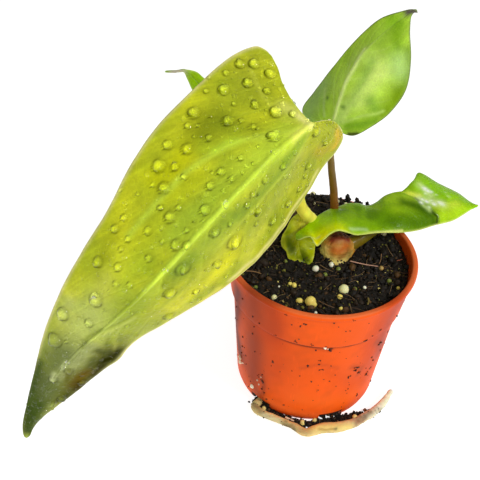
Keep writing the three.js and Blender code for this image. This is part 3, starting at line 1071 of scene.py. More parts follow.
    def shape(self) -> Shape:
        """Raises the middle surface's relief, colours it and thickens it along its normals.

        Returns:
            The closed blade, with its upper face first.
        """
        sheet, veins, edge = self.middle()
        tree = sheet.tree()
        normals = sheet.normals()
        facing = np.sign((normals @ np.array(self.face, float)).sum())
        up = normals * facing
        share = sheet.place[:, 1]
        rib = clamp(veins - 1) * clamp((self.rib_end - self.past_lobes(share)) / self.RIB_FADE)
        lateral = clamp(veins)
        relief = self.RIB_RAISED * rib * self.rib_width - self.quilt * lateral
        relief = relief + self.DENTS.at(sheet.points)
        tint = self.colours(sheet, rib, lateral, edge)
        for stroke in self.strokes:
            weight = stroke.weight(sheet.points, tree)
            tint = blend(tint, stroke.colour, stroke.strength * weight)
            relief = relief + stroke.height * weight
        kept = smooth((self.edge_end - share) / self.EDGE_FADE)
        tint = blend(tint, self.finish.edge, self.EDGE_SHARE * edge * kept)
        middle = sheet.points + up * relief[:, None]
        half = self.thickness / 2 * (1 - self.EDGE_THINNED * edge)[:, None]
        upper = middle + up * half
        lower = middle - up * (half + (self.rib * rib)[:, None])
        share_under = np.full(len(tint), self.UNDER_SHARE)
        shade = blend(tint * self.UNDER_LIGHT, self.finish.under, share_under)
        faces = sheet.faces if facing > 0 else sheet.faces[:, ::-1]
        count = len(middle)
        walls = self.walls(faces, count)
        return Shape(
            np.vstack([upper, lower]), np.vstack([faces, faces[:, ::-1] + count, walls]),
            np.vstack([tint, shade]), np.vstack([sheet.place, sheet.place]),
        )

    def colours(self, sheet: Shape, rib: Array, lateral: Array, edge: Array) -> Array:
        """The blade's colours before its strokes: clouds of two tones, streaks, then the veins.

        The streaks are a noise that runs along the side veins: it changes fast from one of them
        to the next, and slowly with r. Each half also takes its factor from halves: painted light
        and shade.

        Args:
            sheet: The middle surface.
            rib: How much of the midrib each point is.
            lateral: How much of a side vein.
            edge: How much of the margin.

        Returns:
            A colour for each point.
        """
        finish, points = self.finish, sheet.points
        across, share = sheet.place.T
        r = np.abs(2 * across - 1)
        run = self.along_vein(share, r) * Line(self.midrib).length / (1 - self.lobe_rows)
        clouds = 0.5 + self.WIDE_CLOUDS.at(points) + self.FINE_CLOUDS.at(points)
        patches = self.WIDE_PATCHES.at(points) + self.FINE_PATCHES.at(points) - 0.15
        streaks = self.STREAKS.at(np.stack([run, 6 * across, 0 * run], 1))
        tint = blend(np.tile(finish.base, (len(points), 1)), finish.second, finish.clouds * clouds)
        tint = blend(tint, finish.third, finish.clouds * patches)
        # Painted light and shade: each half's factor from halves, with the streaks.
        light = np.interp(across, (0.44, 0.56), self.halves) * (1 + streaks)
        tint = blend(tint * light[:, None], finish.vein, self.vein_share * lateral * (1 - edge))
        return blend(tint, finish.vein, 0.95 * rib)

    @staticmethod
    def walls(faces: Array, count: int) -> Array:
        """Triangles round the open border, from the upper sheet to the lower one.

        Args:
            faces: The upper sheet's triangles.
            count: How many points it has.

        Returns:
            Rows of three indices.
        """
        edges = np.vstack([faces[:, [0, 1]], faces[:, [1, 2]], faces[:, [2, 0]]])
        keys = np.sort(edges, axis=1) @ np.array([count, 1])
        _, inverse, uses = np.unique(keys, return_inverse=True, return_counts=True)
        a, b = edges[uses[inverse.reshape(-1)] == 1].T
        return np.vstack([np.stack([b, a, a + count], 1), np.stack([b, a + count, b + count], 1)])

    def build(self) -> Shape:
        """Makes the piece and the water on it.

        Returns:
            The blade's surface.
        """
        shape = self.shape()
        water = self.drops.laid(shape) if self.drops else None
        if water:
            # Paints the drops' gathered light and rim shade into the blade's tint.
            shape.tint = water.wet(shape)
        shape.stand_in(self.node, "surface", self.slot, self.finish.material())
        if water:
            self.drops.build(self.node + "_drops", water)
        return shape


@dataclass(frozen=True)
class StalkFinish:
    """The skin of a stalk, the stem or the root.

    Attributes:
        name: The material's name.
        roughness: How rough it is.
        grain: The size of its bumps in mm.
        depth: Their depth in mm.
        coat: How much wet shine lies on it.
    """

    name: str
    roughness: float = 0.42
    grain: float = 0.9
    depth: float = 0.06
    coat: float = 0.1

    def material(self) -> Material:
        """A skin in the piece's own colours, with flecks, soft bumps and pores.

        Returns:
            The material.
        """
        shader = Shader(
            self.name, subsurface_weight=0.1, subsurface_scale=0.001, coat_weight=self.coat,
            coat_roughness=0.15, specular_ior_level=0.16,
        )
        cloud = shader.noise(self.grain * 2.5, 4)
        fleck = shader.noise(self.grain * 0.4, 2)
        colour = shader.shaded(shader.tint(), cloud, 0.84, 1.16)
        colour = shader.shaded(colour, fleck, 0.9, 1.1)
        height = shader.maths("ADD", shader.noise(self.grain, 4), shader.ramp(fleck, 0, 1, 0, 0.4))
        rough = shader.ramp(cloud, 0.3, 0.7, self.roughness - 0.06, self.roughness + 0.12)
        return shader.finish(colour, height, self.depth, rough)


def bead_finish(name: str) -> StalkFinish:
    """The smooth shell of slow-release feed."""
    return StalkFinish(name, roughness=0.4, grain=0.8, depth=0.05, coat=0.2)


@dataclass(frozen=True)
class Tube:
    """A round section carried along a path, closed at both ends.

    Attributes:
        path: Points in mm.
        start: The radius at the first point.
        end: The radius at the last.
        rows: Rings along it.
        sides: Points in a ring.
    """

    path: Sequence[Point] | Array
    start: float
    end: float
    rows: int = 90
    sides: int = 24

    def surface(self, colours: Sequence[Point],
                swell: Callable[[Array, Array, Array], Array] | None = None) -> Shape:
        """Works out the tube.

        A point is path(s) + radius(s) (cos a u(s) + sin a v(s)), where u and v stand square to
        the path, and the radius closes as a half circle at each end.

        Args:
            colours: Colours at even steps along it.
            swell: Gives a factor on the radius from s, a and the points' places.

        Returns:
            The closed surface.
        """
        share = (1 - np.cos(np.linspace(0, np.pi, self.rows + 1))) / 2
        line = Line(self.path)
        middle, way = line.at(share), line.direction(share)
        aside, sharpest, bluntest = np.array([0.31, 0.95, 0.05]), 1e-4, 0.3
        u = unit(np.cross(way, aside))
        v = np.cross(u, way)
        turn = circle(self.sides)
        radius = self.start + (self.end - self.start) * share
        cap = np.clip(radius / line.length, sharpest, bluntest)
        ends = np.minimum(share, 1 - share)
        radius = radius * np.sqrt(1 - (1 - clamp(ends / cap)) ** 2)
        out = u[:, None] * np.cos(turn)[None, :, None] + v[:, None] * np.sin(turn)[None, :, None]
        radii = np.repeat(radius[:, None], self.sides, 1)
        if swell is not None:
            places = middle[:, None] + out * radii[..., None]
            radii = radii * swell(share[:, None], turn[None], places)
        points = (middle[:, None] + out * radii[..., None]).reshape(-1, 3)
        steps = np.linspace(0, 1, len(colours))
        tint = np.stack([np.interp(share, steps, band) for band in np.array(colours).T], 1)
        tint = np.repeat(tint, self.sides, 0)
        faces = grid_faces(self.rows + 1, self.sides, round_=True)
        place = np.stack([np.tile(turn, self.rows + 1), np.repeat(share, self.sides)], 1)
        return Shape(points, faces, tint, place).welded()


@dataclass(frozen=True)
class Petiole:
    """A leaf's stalk, with a sheath at its foot and a swelling under the blade.

    Attributes:
        node: The solid's node, and the piece's name without its ending.
        tube: Its path and radii.
        colours: Its colours from the stem to the blade.
        slot: The name of its material slot.
        sheath: How much wider its foot is, as a share.
    """

    node: str
    tube: Tube
    colours: tuple[Point, ...]
    slot: str
    sheath: float = 0.25

    BUMPS, SHADES = Ripples(3.5, 21, 0.035), Ripples(4, 8, 0.12)

    def swell(self, share: Array, turn: Array, places: Array) -> Array:
        """A factor on the radius: more in the sheath and at the swelling, less in the groove.

        Args:
            share: The share of the length.
            turn: The angle round the stalk.
            places: The points in mm.

        Returns:
            The factor at each point.
        """
        foot = self.sheath * bell(share, 0, 0.1)
        knee = 0.12 * bell(share, 0.92, 0.05)
        groove = 0.1 * bell(turn, np.pi, 0.6) * smooth(share * 3)
        return 1 + foot + knee - groove + self.BUMPS.at(places)

    def build(self, finish: StalkFinish) -> None:
        """Makes the stalk, with its colours a little uneven.

        Args:
            finish: Its skin.
        """
        shape = self.tube.surface(self.colours, self.swell)
        shape.tint = shape.tint * (1 + self.SHADES.at(shape.points))[:, None]
        shape.stand_in(self.node, "surface", self.slot, finish.material())


@dataclass(frozen=True)
class StemBase:
    """The short knobbly stem that the stalks grow from.

    Attributes:
        node: The solid's node.
        heart: The point that its surface is measured from, in mm.
        lumps: Centre and radii of each lump in mm.
        soil: The height in mm below which it turns brown.
        scar_pitch: How many ring scars there are in 2 pi mm.
        rows: Rings from top to bottom.
        sides: Points in a ring.
        cream: Its pale skin.
        tan: Its darker skin.
        brown: Its foot in the soil.
    """

    node: str = "stem_base"
    heart: Point = (4.2, 1.9, 53.4)
    lumps: tuple[tuple[Point, Point], ...] = (
        ((4.6, 1.8, 53.4), (5.0, 4.8, 6.4)),
        ((4.4, -0.6, 50.2), (4.2, 4.0, 3.6)),
        ((6.4, 3.2, 54.0), (4.4, 4.2, 4.0)),
        ((2.0, 5.2, 56.0), (3.6, 3.8, 3.4)),
    )
    soil: float = 52.2
    scar_pitch: float = 3.4
    rows: int = 90
    sides: int = 120
    cream: Point = srgb(226, 192, 104)
    tan: Point = srgb(204, 138, 30)
    brown: Point = srgb(92, 52, 22)

    WAVER, TAN_PATCHES = Ripples(6, 31, 0.9), Ripples(5, 34, 0.7)
    KNOBS, PORES = Ripples(2.4, 32, 0.16), Ripples(1.0, 33, 0.09)

    def shape(self) -> Shape:
        """The skin: along each direction, a soft maximum of how far the lumps reach.

        A ray from the heart leaves lump i at t_i, and the skin lies at (sum t_i^10)^(1/10), with
        ring scars and grain added.

        Returns:
            The closed skin with its tint.
        """
        heart = np.array(self.heart)
        down = np.linspace(0, np.pi, self.rows + 1)[:, None]
        turn = circle(self.sides)[None]
        axes = np.sin(down) * np.cos(turn), np.sin(down) * np.sin(turn), np.cos(down)
        way = np.stack(np.broadcast_arrays(*axes), -1).reshape(-1, 3)
        total = np.zeros(len(way))
        for centre, radii in self.lumps:
            start, slope = (heart - centre) / np.array(radii), way / np.array(radii)
            a, b = (slope * slope).sum(1), slope @ start
            root = b * b - a * (start @ start - 1)
            reach = np.where(root > 0, (-b + np.sqrt(np.maximum(root, 0))) / a, 0)
            total = total + np.maximum(reach, 0) ** 10
        reach = np.maximum(total, TINY) ** 0.1
        points = heart + way * reach[:, None]
        scars = np.sin(points[:, 2] * self.scar_pitch + self.WAVER.at(points))
        grain = self.KNOBS.at(points) + self.PORES.at(points)
        reach = reach + 0.05 * np.clip(scars, -1, 0.4) + grain
        points = heart + way * reach[:, None]
        tint = np.tile(self.cream, (len(points), 1))
        tint = blend(tint, self.tan, 0.5 + self.TAN_PATCHES.at(points))
        tint = blend(tint, self.brown, 0.14 * clamp(-scars))
        tint = blend(tint, self.brown, smooth((self.soil - points[:, 2]) / 3))
        faces = grid_faces(self.rows + 1, self.sides, round_=True)
        return Shape(points, faces, tint).welded()

    def build(self, strokes: Sequence[Stroke]) -> None:
        """Makes the stem.

        Args:
            strokes: The marks on it.
        """
        shape = self.shape()
        shape.tint = painted(shape, strokes)
        finish = StalkFinish("stem_skin", roughness=0.5, grain=1.1, depth=0.14, coat=0.03)
        shape.stand_in(self.node, "surface", "stem_base", finish.material())


def ball(steps: int) -> tuple[Array, Array]:
    """A ball of even triangles and radius 1 round the origin.

    Args:
        steps: How fine it is: 20 triangles in one step, 80 in two.

    Returns:
        Its points and its faces.
    """
    mesh = bmesh.new()
    bmesh.ops.create_icosphere(mesh, subdivisions=steps, radius=1.0)
    points = np.array([vertex.co[:] for vertex in mesh.verts])
    faces = np.array([[vertex.index for vertex in face.verts] for face in mesh.faces])
    mesh.free()
    return points, faces


def crumbs(places: Array, sizes: Array, tints: Array, rng: np.random.Generator,
           steps: int = 1, rough: float = 0.28, flat: float = 0.55) -> Shape:
    """Irregular lumps: balls with each point moved in or out, stretched, turned and set down.

    Args:
        places: Their middles in mm.
        sizes: Their widths in mm.
        tints: Their colours.
        rng: The random numbers to use.
        steps: How fine the balls are.
        rough: How far a point may move, as a share of the radius.
        flat: The least of the three stretches.

    Returns:
        All lumps as one surface.
    """
    points, faces = ball(steps)
    count = len(places)
    w, x, y, z = unit(rng.normal(size=(count, 4))).T
    turns = np.stack([
        1 - 2 * (y * y + z * z), 2 * (x * y - z * w), 2 * (x * z + y * w),
        2 * (x * y + z * w), 1 - 2 * (x * x + z * z), 2 * (y * z - x * w),
        2 * (x * z - y * w), 2 * (y * z + x * w), 1 - 2 * (x * x + y * y),
    ], 1).reshape(-1, 3, 3)
    stretch = sizes[:, None] / 2 * rng.uniform(flat, 1.15, (count, 3))
    bumps = rng.uniform(1 - rough, 1 + rough, (count, len(points), 1))
    local = points[None] * bumps * stretch[:, None]
    moved = np.einsum("nij,nvj->nvi", turns, local) + places[:, None]
    index = faces[None] + np.arange(count)[:, None, None] * len(points)
    tint = np.repeat(tints, len(points), 0)
    return Shape(moved.reshape(-1, 3), index.reshape(-1, 3), tint)


def palette(colours: Sequence[Point], shares: Sequence[float], count: int,
            rng: np.random.Generator) -> Array:
    """Picks a colour for each of many lumps, each a little lighter or darker.

    Args:
        colours: The colours.
        shares: How common each is.
        count: How many to pick.
        rng: The random numbers to use.

    Returns:
        One row for each lump.
    """
    picks = rng.choice(len(colours), count, p=np.array(shares) / sum(shares))
    return np.array(colours)[picks] * rng.uniform(0.7, 1.3, (count, 1))


@dataclass(frozen=True)
class DirtFinish:
    """Damp earth, bark and the like.

    Attributes:
        name: The material's name.
        roughness: How rough it is.
        grain: The size of its bumps in mm.
        depth: Their depth in mm.
        shine: How strongly it reflects, with 0.5 for most things.
    """

    name: str
    roughness: float = 0.75
    grain: float = 0.5
    depth: float = 0.25
    shine: float = 0.35

    def material(self) -> Material:
        """A crumbly surface in the piece's own colours.

        Returns:
            The material.
        """
        shader = Shader(self.name, specular_ior_level=self.shine)
        cloud = shader.noise(self.grain * 3, 4)
        colour = shader.shaded(shader.tint(), cloud, 0.55, 1.4)
        colour = shader.shaded(colour, shader.noise(self.grain * 0.6, 2), 0.8, 1.2)
        rough = shader.ramp(cloud, 0.3, 0.7, self.roughness + 0.15, self.roughness - 0.2)
        return shader.finish(colour, shader.noise(self.grain, 5, 0.65), self.depth, rough)


@dataclass(frozen=True)
class PlasticFinish:
    """Injection-moulded plastic.

    Attributes:
        name: The material's name.
        roughness: How rough it is.
        grain: The size of the moulded grain in mm.
        depth: Its depth in mm.
        dust: The size of the clouds of dust in mm.
        scuffs: How many thin scuffs there are in a metre round it.
    """

    name: str = "terracotta_plastic_skin"
    roughness: float = 0.42
    grain: float = 0.35
    depth: float = 0.02
    dust: float = 14.0
    scuffs: float = 1400.0

    def material(self) -> Material:
        """Satin plastic with a fine grain, dust in clouds and thin upright scuffs.

        Returns:
            The material.
        """
        shader = Shader(self.name, specular_ior_level=0.06)
        grain = shader.noise(self.grain, 2)
        cloud = shader.noise(self.dust, 5, 0.6)
        stretched = shader.add("Mapping", {"Vector": shader.space, "Scale": (1.0, 1.0, 0.12)})
        values = {"Vector": stretched.outputs[0], "Scale": self.scuffs, "Detail": 3.0}
        scuffs = shader.add("TexNoise", values).outputs["Fac"]
        colour = shader.shaded(shader.tint(), cloud, 0.9, 1.1)
        colour = shader.shaded(colour, shader.ramp(scuffs, 0.6, 0.75), 1.0, 1.09)
        height = shader.maths("ADD", grain, shader.ramp(scuffs, 0.4, 0.8, 0, 0.5))
        rough = shader.ramp(cloud, 0.3, 0.7, self.roughness - 0.05, self.roughness + 0.1)
        return shader.finish(colour, height, self.depth, rough)


@dataclass(frozen=True)
class NurseryPot:
    """The thin round pot: rolled lip, collar, tapered wall and six slots at the base's edge.

    Attributes:
        node: The solid's node.
        profile: Radius and height in mm from the base's middle, up the outside and down inside.
        collar_edge: The height in mm of the line of shade under the collar.
        lip_edge: The height of the line of shade under the lip.
        lip_top: The height of the lip's top.
        foot: The height below which damp has stained it.
        rounding: How far each corner is rounded, in mm.
        sides: Points round the pot.
        step: The longest stretch of profile between two rings, in mm.
        slots: How many drain slots there are.
        first_slot: The first one's direction in degrees.
        slot_width: Their width in mm.
        slot_height: Their height in mm.
        slot_reach: The least and greatest radius that they cut.
        orange: The plastic's colour.
        stain_and_shade: The colour that damp earth has left on it, also used for the painted shade
            under the collar and the lip.
        wear_and_highlight: The lighter colour along the lip's top, as wear and as a painted
            highlight.
    """

    node: str = "nursery_pot"
    profile: tuple[tuple[float, float], ...] = (
        (0, 0), (22.6, 0), (23.4, 0.8), (24.0, 2.6), (24.4, 8), (26.67, 38.4), (26.74, 39.3),
        (26.8, 40.1), (27.7, 40.5), (29.3, 53.1), (30, 53.5), (30, 54.6), (29.6, 55), (28.6, 55),
        (28.2, 54.6), (26.6, 40.9), (25.7, 39.4), (23.3, 8), (21.8, 2), (21, 1.2), (0, 1.2),
    )
    collar_edge: float = 39.4
    lip_edge: float = 53.2
    lip_top: float = 54.9
    foot: float = 7.0
    rounding: float = 0.35
    sides: int = 240
    step: float = 1.2
    slots: int = 6
    first_slot: float = 229.0
    slot_width: float = 8.0
    slot_height: float = 3.7
    slot_reach: tuple[float, float] = (19.7, 27.7)
    orange: Point = srgb(240, 90, 16)
    stain_and_shade: Point = srgb(120, 52, 24)
    wear_and_highlight: Point = srgb(244, 136, 84)

    SHADES, DAMP, UNEVEN = Ripples(30, 41, 0.05), Ripples(9, 42, 0.5), Ripples(8, 43, 0.5)
    WIDE_SMEARS, FINE_SMEARS = Ripples(12, 44), Ripples(3.5, 45, 0.6)

    def rings(self) -> Array:
        """The profile with each corner made a small bend of four points and long runs divided.

        The bend is the curve (1-t)^2 a + 2 t (1-t) corner + t^2 b from a to b on the two sides.

        Returns:
            The radius and height of each ring in mm.
        """
        most = 0.45
        t = np.linspace(0, 1, 4)[:, None]
        corners = np.array(self.profile, float)
        rows = [corners[0]]
        for before, corner, after in zip(corners, corners[1:], corners[2:]):
            to_before = np.linalg.norm(before - corner)
            to_after = np.linalg.norm(after - corner)
            a = corner + (before - corner) / to_before * min(self.rounding, to_before * most)
            b = corner + (after - corner) / to_after * min(self.rounding, to_after * most)
            rows.extend((1 - t) ** 2 * a + 2 * t * (1 - t) * corner + t**2 * b)
        rows.append(corners[-1])
        rings = [rows[0]]
        for here, after in zip(rows, rows[1:]):
            count = max(1, math.ceil(np.linalg.norm(after - here) / self.step))
            rings.extend(here + (after - here) * (index + 1) / count for index in range(count))
        return np.array(rings)

    def shape(self) -> Shape:
        """Turns the profile about the pot's axis, with stains, painted shade lines and a painted
        highlight on the worn lip.

        Returns:
            The closed surface.
        """
        radius, level = self.rings().T[..., None]
        turn = circle(self.sides)
        axes = radius * np.cos(turn), radius * np.sin(turn), level
        points = np.stack(np.broadcast_arrays(*axes), -1).reshape(-1, 3)
        faces = grid_faces(len(radius), self.sides, round_=True)[:, ::-1]
        height = points[:, 2]
        tint = np.tile(self.orange, (len(points), 1))
        tint = tint * (1 + self.SHADES.at(points))[:, None]
        low = clamp(1 - height / self.foot) * (0.5 + self.DAMP.at(points))
        tint = blend(tint, self.stain_and_shade, 0.2 * clamp(low))
        uneven = 0.75 + self.UNEVEN.at(points)
        # Painted shade: a dark line under the collar's step, uneven along it.
        painted_collar_shade = bell(height, self.collar_edge, 0.5) * clamp(uneven + 0.2)
        tint = blend(tint, self.stain_and_shade, 0.95 * painted_collar_shade)
        smears = self.WIDE_SMEARS.at(points * [1, 1, 0.35]) + self.FINE_SMEARS.at(points)
        tint = blend(tint, self.stain_and_shade, 0.14 * clamp(smears))
        # Painted shade: a dark line under the lip.
        tint = blend(tint, self.stain_and_shade, 0.4 * bell(height, self.lip_edge, 0.35) * uneven)
        # The lip's top painted lighter: wear, and a painted highlight.
        tint = blend(tint, self.wear_and_highlight, 0.5 * bell(height, self.lip_top, 0.3))
        return Shape(points, faces, tint).welded()

    def cutters(self) -> bpy.types.Object:
        """Makes the blocks that cut the drain slots.

        Returns:
            All of them as one object.
        """
        near, far = self.slot_reach
        below = 2
        size = Matrix.Diagonal((far - near, self.slot_width, self.slot_height + below, 1))
        place = Matrix.Translation(((near + far) / 2, 0, (self.slot_height - below) / 2))
        mesh = bmesh.new()
        for index in range(self.slots):
            turn = Matrix.Rotation(math.radians(self.first_slot + index * 360 / self.slots), 4, "Z")
            matrix = Matrix.Scale(MM, 4) @ turn @ place @ size
            bmesh.ops.create_cube(mesh, size=1.0, matrix=matrix)
        data = bpy.data.meshes.new("slot_cutters")
        mesh.to_mesh(data)
        mesh.free()
        cutter = bpy.data.objects.new("slot_cutters", data)
        bpy.context.scene.collection.objects.link(cutter)
        return cutter

    def colour_cuts(self, mesh: bpy.types.Mesh) -> None:
        """Gives the slots' rims, whose new points come out white, the colour of stained plastic.

        Args:
            mesh: The pot after the cuts.
        """
        blue, white = 2, 0.9
        layer = mesh.attributes["tint"].data
        tint = np.empty(len(layer) * 4, np.float32)
        layer.foreach_get("color", tint)
        tint = tint.reshape(-1, 4)
        tint[tint[:, blue] > white, :3] = (np.array(self.orange) + self.stain_and_shade) / 2
        layer.foreach_set("color", tint.ravel())

    def build(self, strokes: Sequence[Stroke]) -> Shape:
        """Makes the pot and cuts its slots.

        Args:
            strokes: The marks on it, most of them painted shade and light.

        Returns:
            Its surface before the cuts.
        """
        shape = self.shape()
        shape.tint = painted(shape, strokes)
        piece = shape.stand_in(self.node, "shell", "terracotta_plastic", PlasticFinish().material())
        cutter = self.cutters()
        cut = piece.modifiers.new("slots", "BOOLEAN")
        cut.operation, cut.object, cut.solver = "DIFFERENCE", cutter, "EXACT"
        graph = bpy.context.evaluated_depsgraph_get()
        carved = bpy.data.meshes.new_from_object(piece.evaluated_get(graph))
        piece.modifiers.clear()
        old, piece.data = piece.data, carved
        bpy.data.meshes.remove(old)
        bpy.data.objects.remove(cutter)
        self.colour_cuts(carved)
        return shape


@dataclass(frozen=True)
class PotDirt:
    """Crumbs of earth that stick to the pot's outside.

    Attributes:
        spots: Place in the photograph and width in mm of each crumb seen there.
        grains: The same for the pale grains among them, with their colours.
        clump: How many grains of earth make one crumb.
        strewn: How many more grains lie all round.
        top: The height in mm that they reach.
        seed: Picks them.
        earth: The colours of the crumbs.
        shares: How common each colour is.
    """

    spots: tuple[tuple[float, float, float], ...]
    grains: tuple[tuple[float, float, float, Point], ...]
    clump: int = 7
    strewn: int = 240
    top: float = 53.0
    seed: int = 23
    earth: tuple[Point, ...] = (srgb(48, 24, 14), srgb(82, 40, 20), srgb(124, 70, 34))
    shares: tuple[float, ...] = (5.0, 3.0, 1.0)

    def build(self, pot: Shape) -> None:
        """Presses the crumbs flat onto the pot: the listed ones in clumps of several.

        Args:
            pot: The pot's surface.
        """
        rng = np.random.default_rng(self.seed)
        tree = pot.tree()
        places, normals, _ = VIEW.onto(self.spots, tree)
        widths = np.array(self.spots)[:, 2]
        clump = np.repeat(np.arange(len(places)), self.clump)
        shift = rng.normal(size=(len(clump), 3)) * widths[clump, None] * 0.3
        centres = places[clump] + shift - normals[clump] * (shift * normals[clump]).sum(1)[:, None]
        sizes = widths[clump] * rng.uniform(0.25, 0.7, len(clump))
        turn = rng.uniform(0, 2 * np.pi, self.strewn)
        height = 1 + (self.top - 1) * rng.random(self.strewn) ** 1.3
        outside = np.array(NurseryPot().profile[1:10])
        radius = np.interp(height, outside[:, 1], outside[:, 0])
        around = np.stack([radius * np.cos(turn), radius * np.sin(turn), height], 1)
        fine = rng.uniform(0.3, 0.85, len(around)) ** 1.6
        points, widths = np.vstack([centres, around]), np.concatenate([sizes, fine])
        tints = palette(self.earth, self.shares, len(points), rng)
        earth = crumbs(points, widths, tints, rng, steps=1, flat=0.5)
        places, _, _ = VIEW.onto(self.grains, tree)
        widths = np.array([width for _, _, width, _ in self.grains])
        tints = np.array([colour for *_, colour in self.grains])
        grains = crumbs(places, widths, tints, rng, steps=2, rough=0.12)
        finish = DirtFinish("pot_dirt_earth", roughness=0.8, grain=0.4, depth=0.1)
        together([earth, grains]).piece("pot_dirt", finish.material())


@dataclass(frozen=True)
class PottingSoil:
    """The earth in the pot: a closed mound, loose crumbs on it, fibres and feed beads.

    Attributes:
        node: The solid's node.
        level: The height of the earth at the rim in mm.
        mound: Height, middle x and y, and spread of the mound.
        dip: Depth, middle x and y, and spread of the dip.
        lump: The height of the fine ripple.
        wall: Radius and height of the pot's inner wall from the top down.
        clearance: The gap to the wall in mm.
        edge: The radius in mm at which the earth's height at the wall is read.
        floor: The height of its underside in mm.
        spread: How far out loose things lie, in mm.
        rings: Rings of points on the top.
        wall_rings: Rings of points down the side.
        sides: Points round it.
        loose: How many small crumbs lie on it.
        chunks: How many larger ones.
        fibres: How many short fibres.
        far_beads: How many beads are strewn; only those at the back are kept.
        back: Where the back begins, in mm.
        plug: How many crumbs show in each drain slot.
        chips: Place, height and lean in mm of the bark chips that stand up at the back.
        seed: Picks them.
        dark: The earth's colour.
        crumb_colours: The crumbs' colours, from wet peat to pale grains.
        fibre_colours: The short fibres' colours.
        bead_colours: The strewn beads' colours.
    """

    node: str = "potting_soil"
    level: float = 51.4
    mound: tuple[float, float, float, float] = (5.5, 1.0, 22.5, 16.0)
    dip: tuple[float, float, float, float] = (1.2, 22.0, -4.0, 9.0)
    lump: float = 0.45
    wall: tuple[tuple[float, float], ...] = (
        (28.2, 54.6), (26.6, 40.9), (25.7, 39.4), (23.3, 8), (21.8, 2), (21, 1.2),
    )
    clearance: float = 0.35
    edge: float = 27.8
    floor: float = 1.6
    spread: float = 27.3
    rings: int = 80
    wall_rings: int = 23
    sides: int = 220
    loose: int = 5200
    chunks: int = 380
    fibres: int = 150
    far_beads: int = 26
    back: float = 4.0
    plug: int = 90
    chips: tuple[tuple[float, float, float, float], ...] = (
        (9.8, 24.5, 3.6, 0.3), (13.5, 24, 3.0, -0.4), (16.4, 22, 3.6, 0.5), (-2, 25, 2.6, -0.3),
    )
    seed: int = 7
    dark: Point = srgb(24, 17, 8)
    crumb_colours: tuple[Point, ...] = (
        srgb(23, 16, 7), srgb(40, 27, 12), srgb(82, 56, 24), srgb(122, 118, 44),
        srgb(214, 196, 112),
    )
    fibre_colours: tuple[Point, ...] = (srgb(96, 70, 44), srgb(140, 112, 76), srgb(60, 38, 22))
    bead_colours: tuple[Point, ...] = (srgb(232, 224, 170), srgb(214, 190, 120))

    KNOBS, GRAINS, SHADES = Ripples(2.6, 51, 0.35), Ripples(1.3, 52, 0.25), Ripples(2.2, 53, 0.5)

    def height(self, x: Array, y: Array) -> Array:
        """The earth's top: level + mound exp(-d^2 / 2 spread^2) - dip exp(...) + a fine ripple.

        Args:
            x: Places to the right in mm.
            y: Places to the back in mm.

        Returns:
            The height at each place in mm.
        """
        total = np.full(np.shape(x), self.level)
        for sign, (size, middle_x, middle_y, spread) in ((1, self.mound), (-1, self.dip)):
            square = (x - middle_x) ** 2 + (y - middle_y) ** 2
            total = total + sign * size * np.exp(-square / (2 * spread**2))
        wave = np.sin(0.9 * x + 1.3 * y) + np.sin(1.7 * x - 0.8 * y + 2.1)
        wave = wave + np.sin(-0.5 * x + 2.3 * y + 4.2)
        return total + self.lump * wave / 3

    def reach(self, height: Array) -> Array:
        """The earth's radius at a height: the inner wall's, less the clearance."""
        wall = np.array(self.wall)[::-1]
        return np.interp(height, wall[:, 1], wall[:, 0]) - self.clearance

    def body(self) -> Shape:
        """Lays rings outwards over the top, down the wall, and in to the middle of the floor.

        Returns:
            The closed mound.
        """
        turn = circle(self.sides)
        share = np.linspace(0, 1, self.rings + 1)[:, None]
        edge = self.reach(self.height(self.edge * np.cos(turn), self.edge * np.sin(turn)))
        x, y = share * edge * np.cos(turn), share * edge * np.sin(turn)
        top = np.stack([x, y, self.height(x, y)], -1)
        rough = self.KNOBS.at(top) + self.GRAINS.at(top)
        top[..., 2] += rough * (1 - share**12)
        down = np.linspace(0, 1, self.wall_rings + 1)[1:, None]
        level = top[-1, :, 2] + (self.floor - top[-1, :, 2]) * down
        radius = self.reach(level)
        side = np.stack([radius * np.cos(turn), radius * np.sin(turn), level], -1)
        floor = np.zeros((1, self.sides, 3))
        floor[..., 2] = self.floor
        points = np.concatenate([top, side, floor]).reshape(-1, 3)
        rows = len(points) // self.sides
        tint = np.tile(self.dark, (len(points), 1)) * (1 + self.SHADES.at(points))[:, None]
        return Shape(points, grid_faces(rows, self.sides, round_=True), tint).welded()

    def strewn(self, count: int, rng: np.random.Generator) -> Array:
        """Picks random places on the top, evenly by area.

        Args:
            count: How many.
            rng: The random numbers to use.

        Returns:
            One row for each, in mm.
        """
        radius = self.spread * np.sqrt(rng.random(count))
        turn = rng.uniform(0, 2 * np.pi, count)
        x, y = radius * np.cos(turn), radius * np.sin(turn)
        return np.stack([x, y, self.height(x, y)], 1)

    def pebbles(self, rng: np.random.Generator, leaf: BVHTree) -> Shape:
        """Loose crumbs of peat, bark and a few pale grains, away from the leaf's edge.

        Args:
            rng: The random numbers to use.
            leaf: The leaf that touches the earth.

        Returns:
            All of them as one surface.
        """
        raised, room, least_room = 0.15, 0.6, 0.2
        kinds = (
            (self.loose, 0.3, 1.0, (54, 28, 10, 5, 2), 1, 0.4, 0.35),
            (self.chunks, 1.2, 1.6, (66, 28, 6, 0, 0), 2, 0.24, 0.4),
        )
        parts = []
        for count, least, spread, shares, steps, rough, flat in kinds:
            places = self.strewn(count, rng)
            sizes = least + spread * rng.random(count) ** 2
            places[:, 2] += sizes * raised
            clear = np.array([leaf.find_nearest(Vector(place))[3] for place in places])
            free = clear > sizes * room + least_room
            tints = palette(self.crumb_colours, shares, count, rng)
            parts.append(crumbs(places[free], sizes[free], tints[free], rng, steps, rough, flat))
        parts.extend(self.heap(chip, rng) for chip in self.chips)
        plug = self.plugs(rng)
        tints = palette(self.crumb_colours[:3], (6, 3, 1), len(plug), rng)
        sizes = rng.uniform(0.8, 2.2, len(plug))
        parts.append(crumbs(plug, sizes, tints, rng, steps=1, rough=0.3, flat=0.5))
        return together(parts)

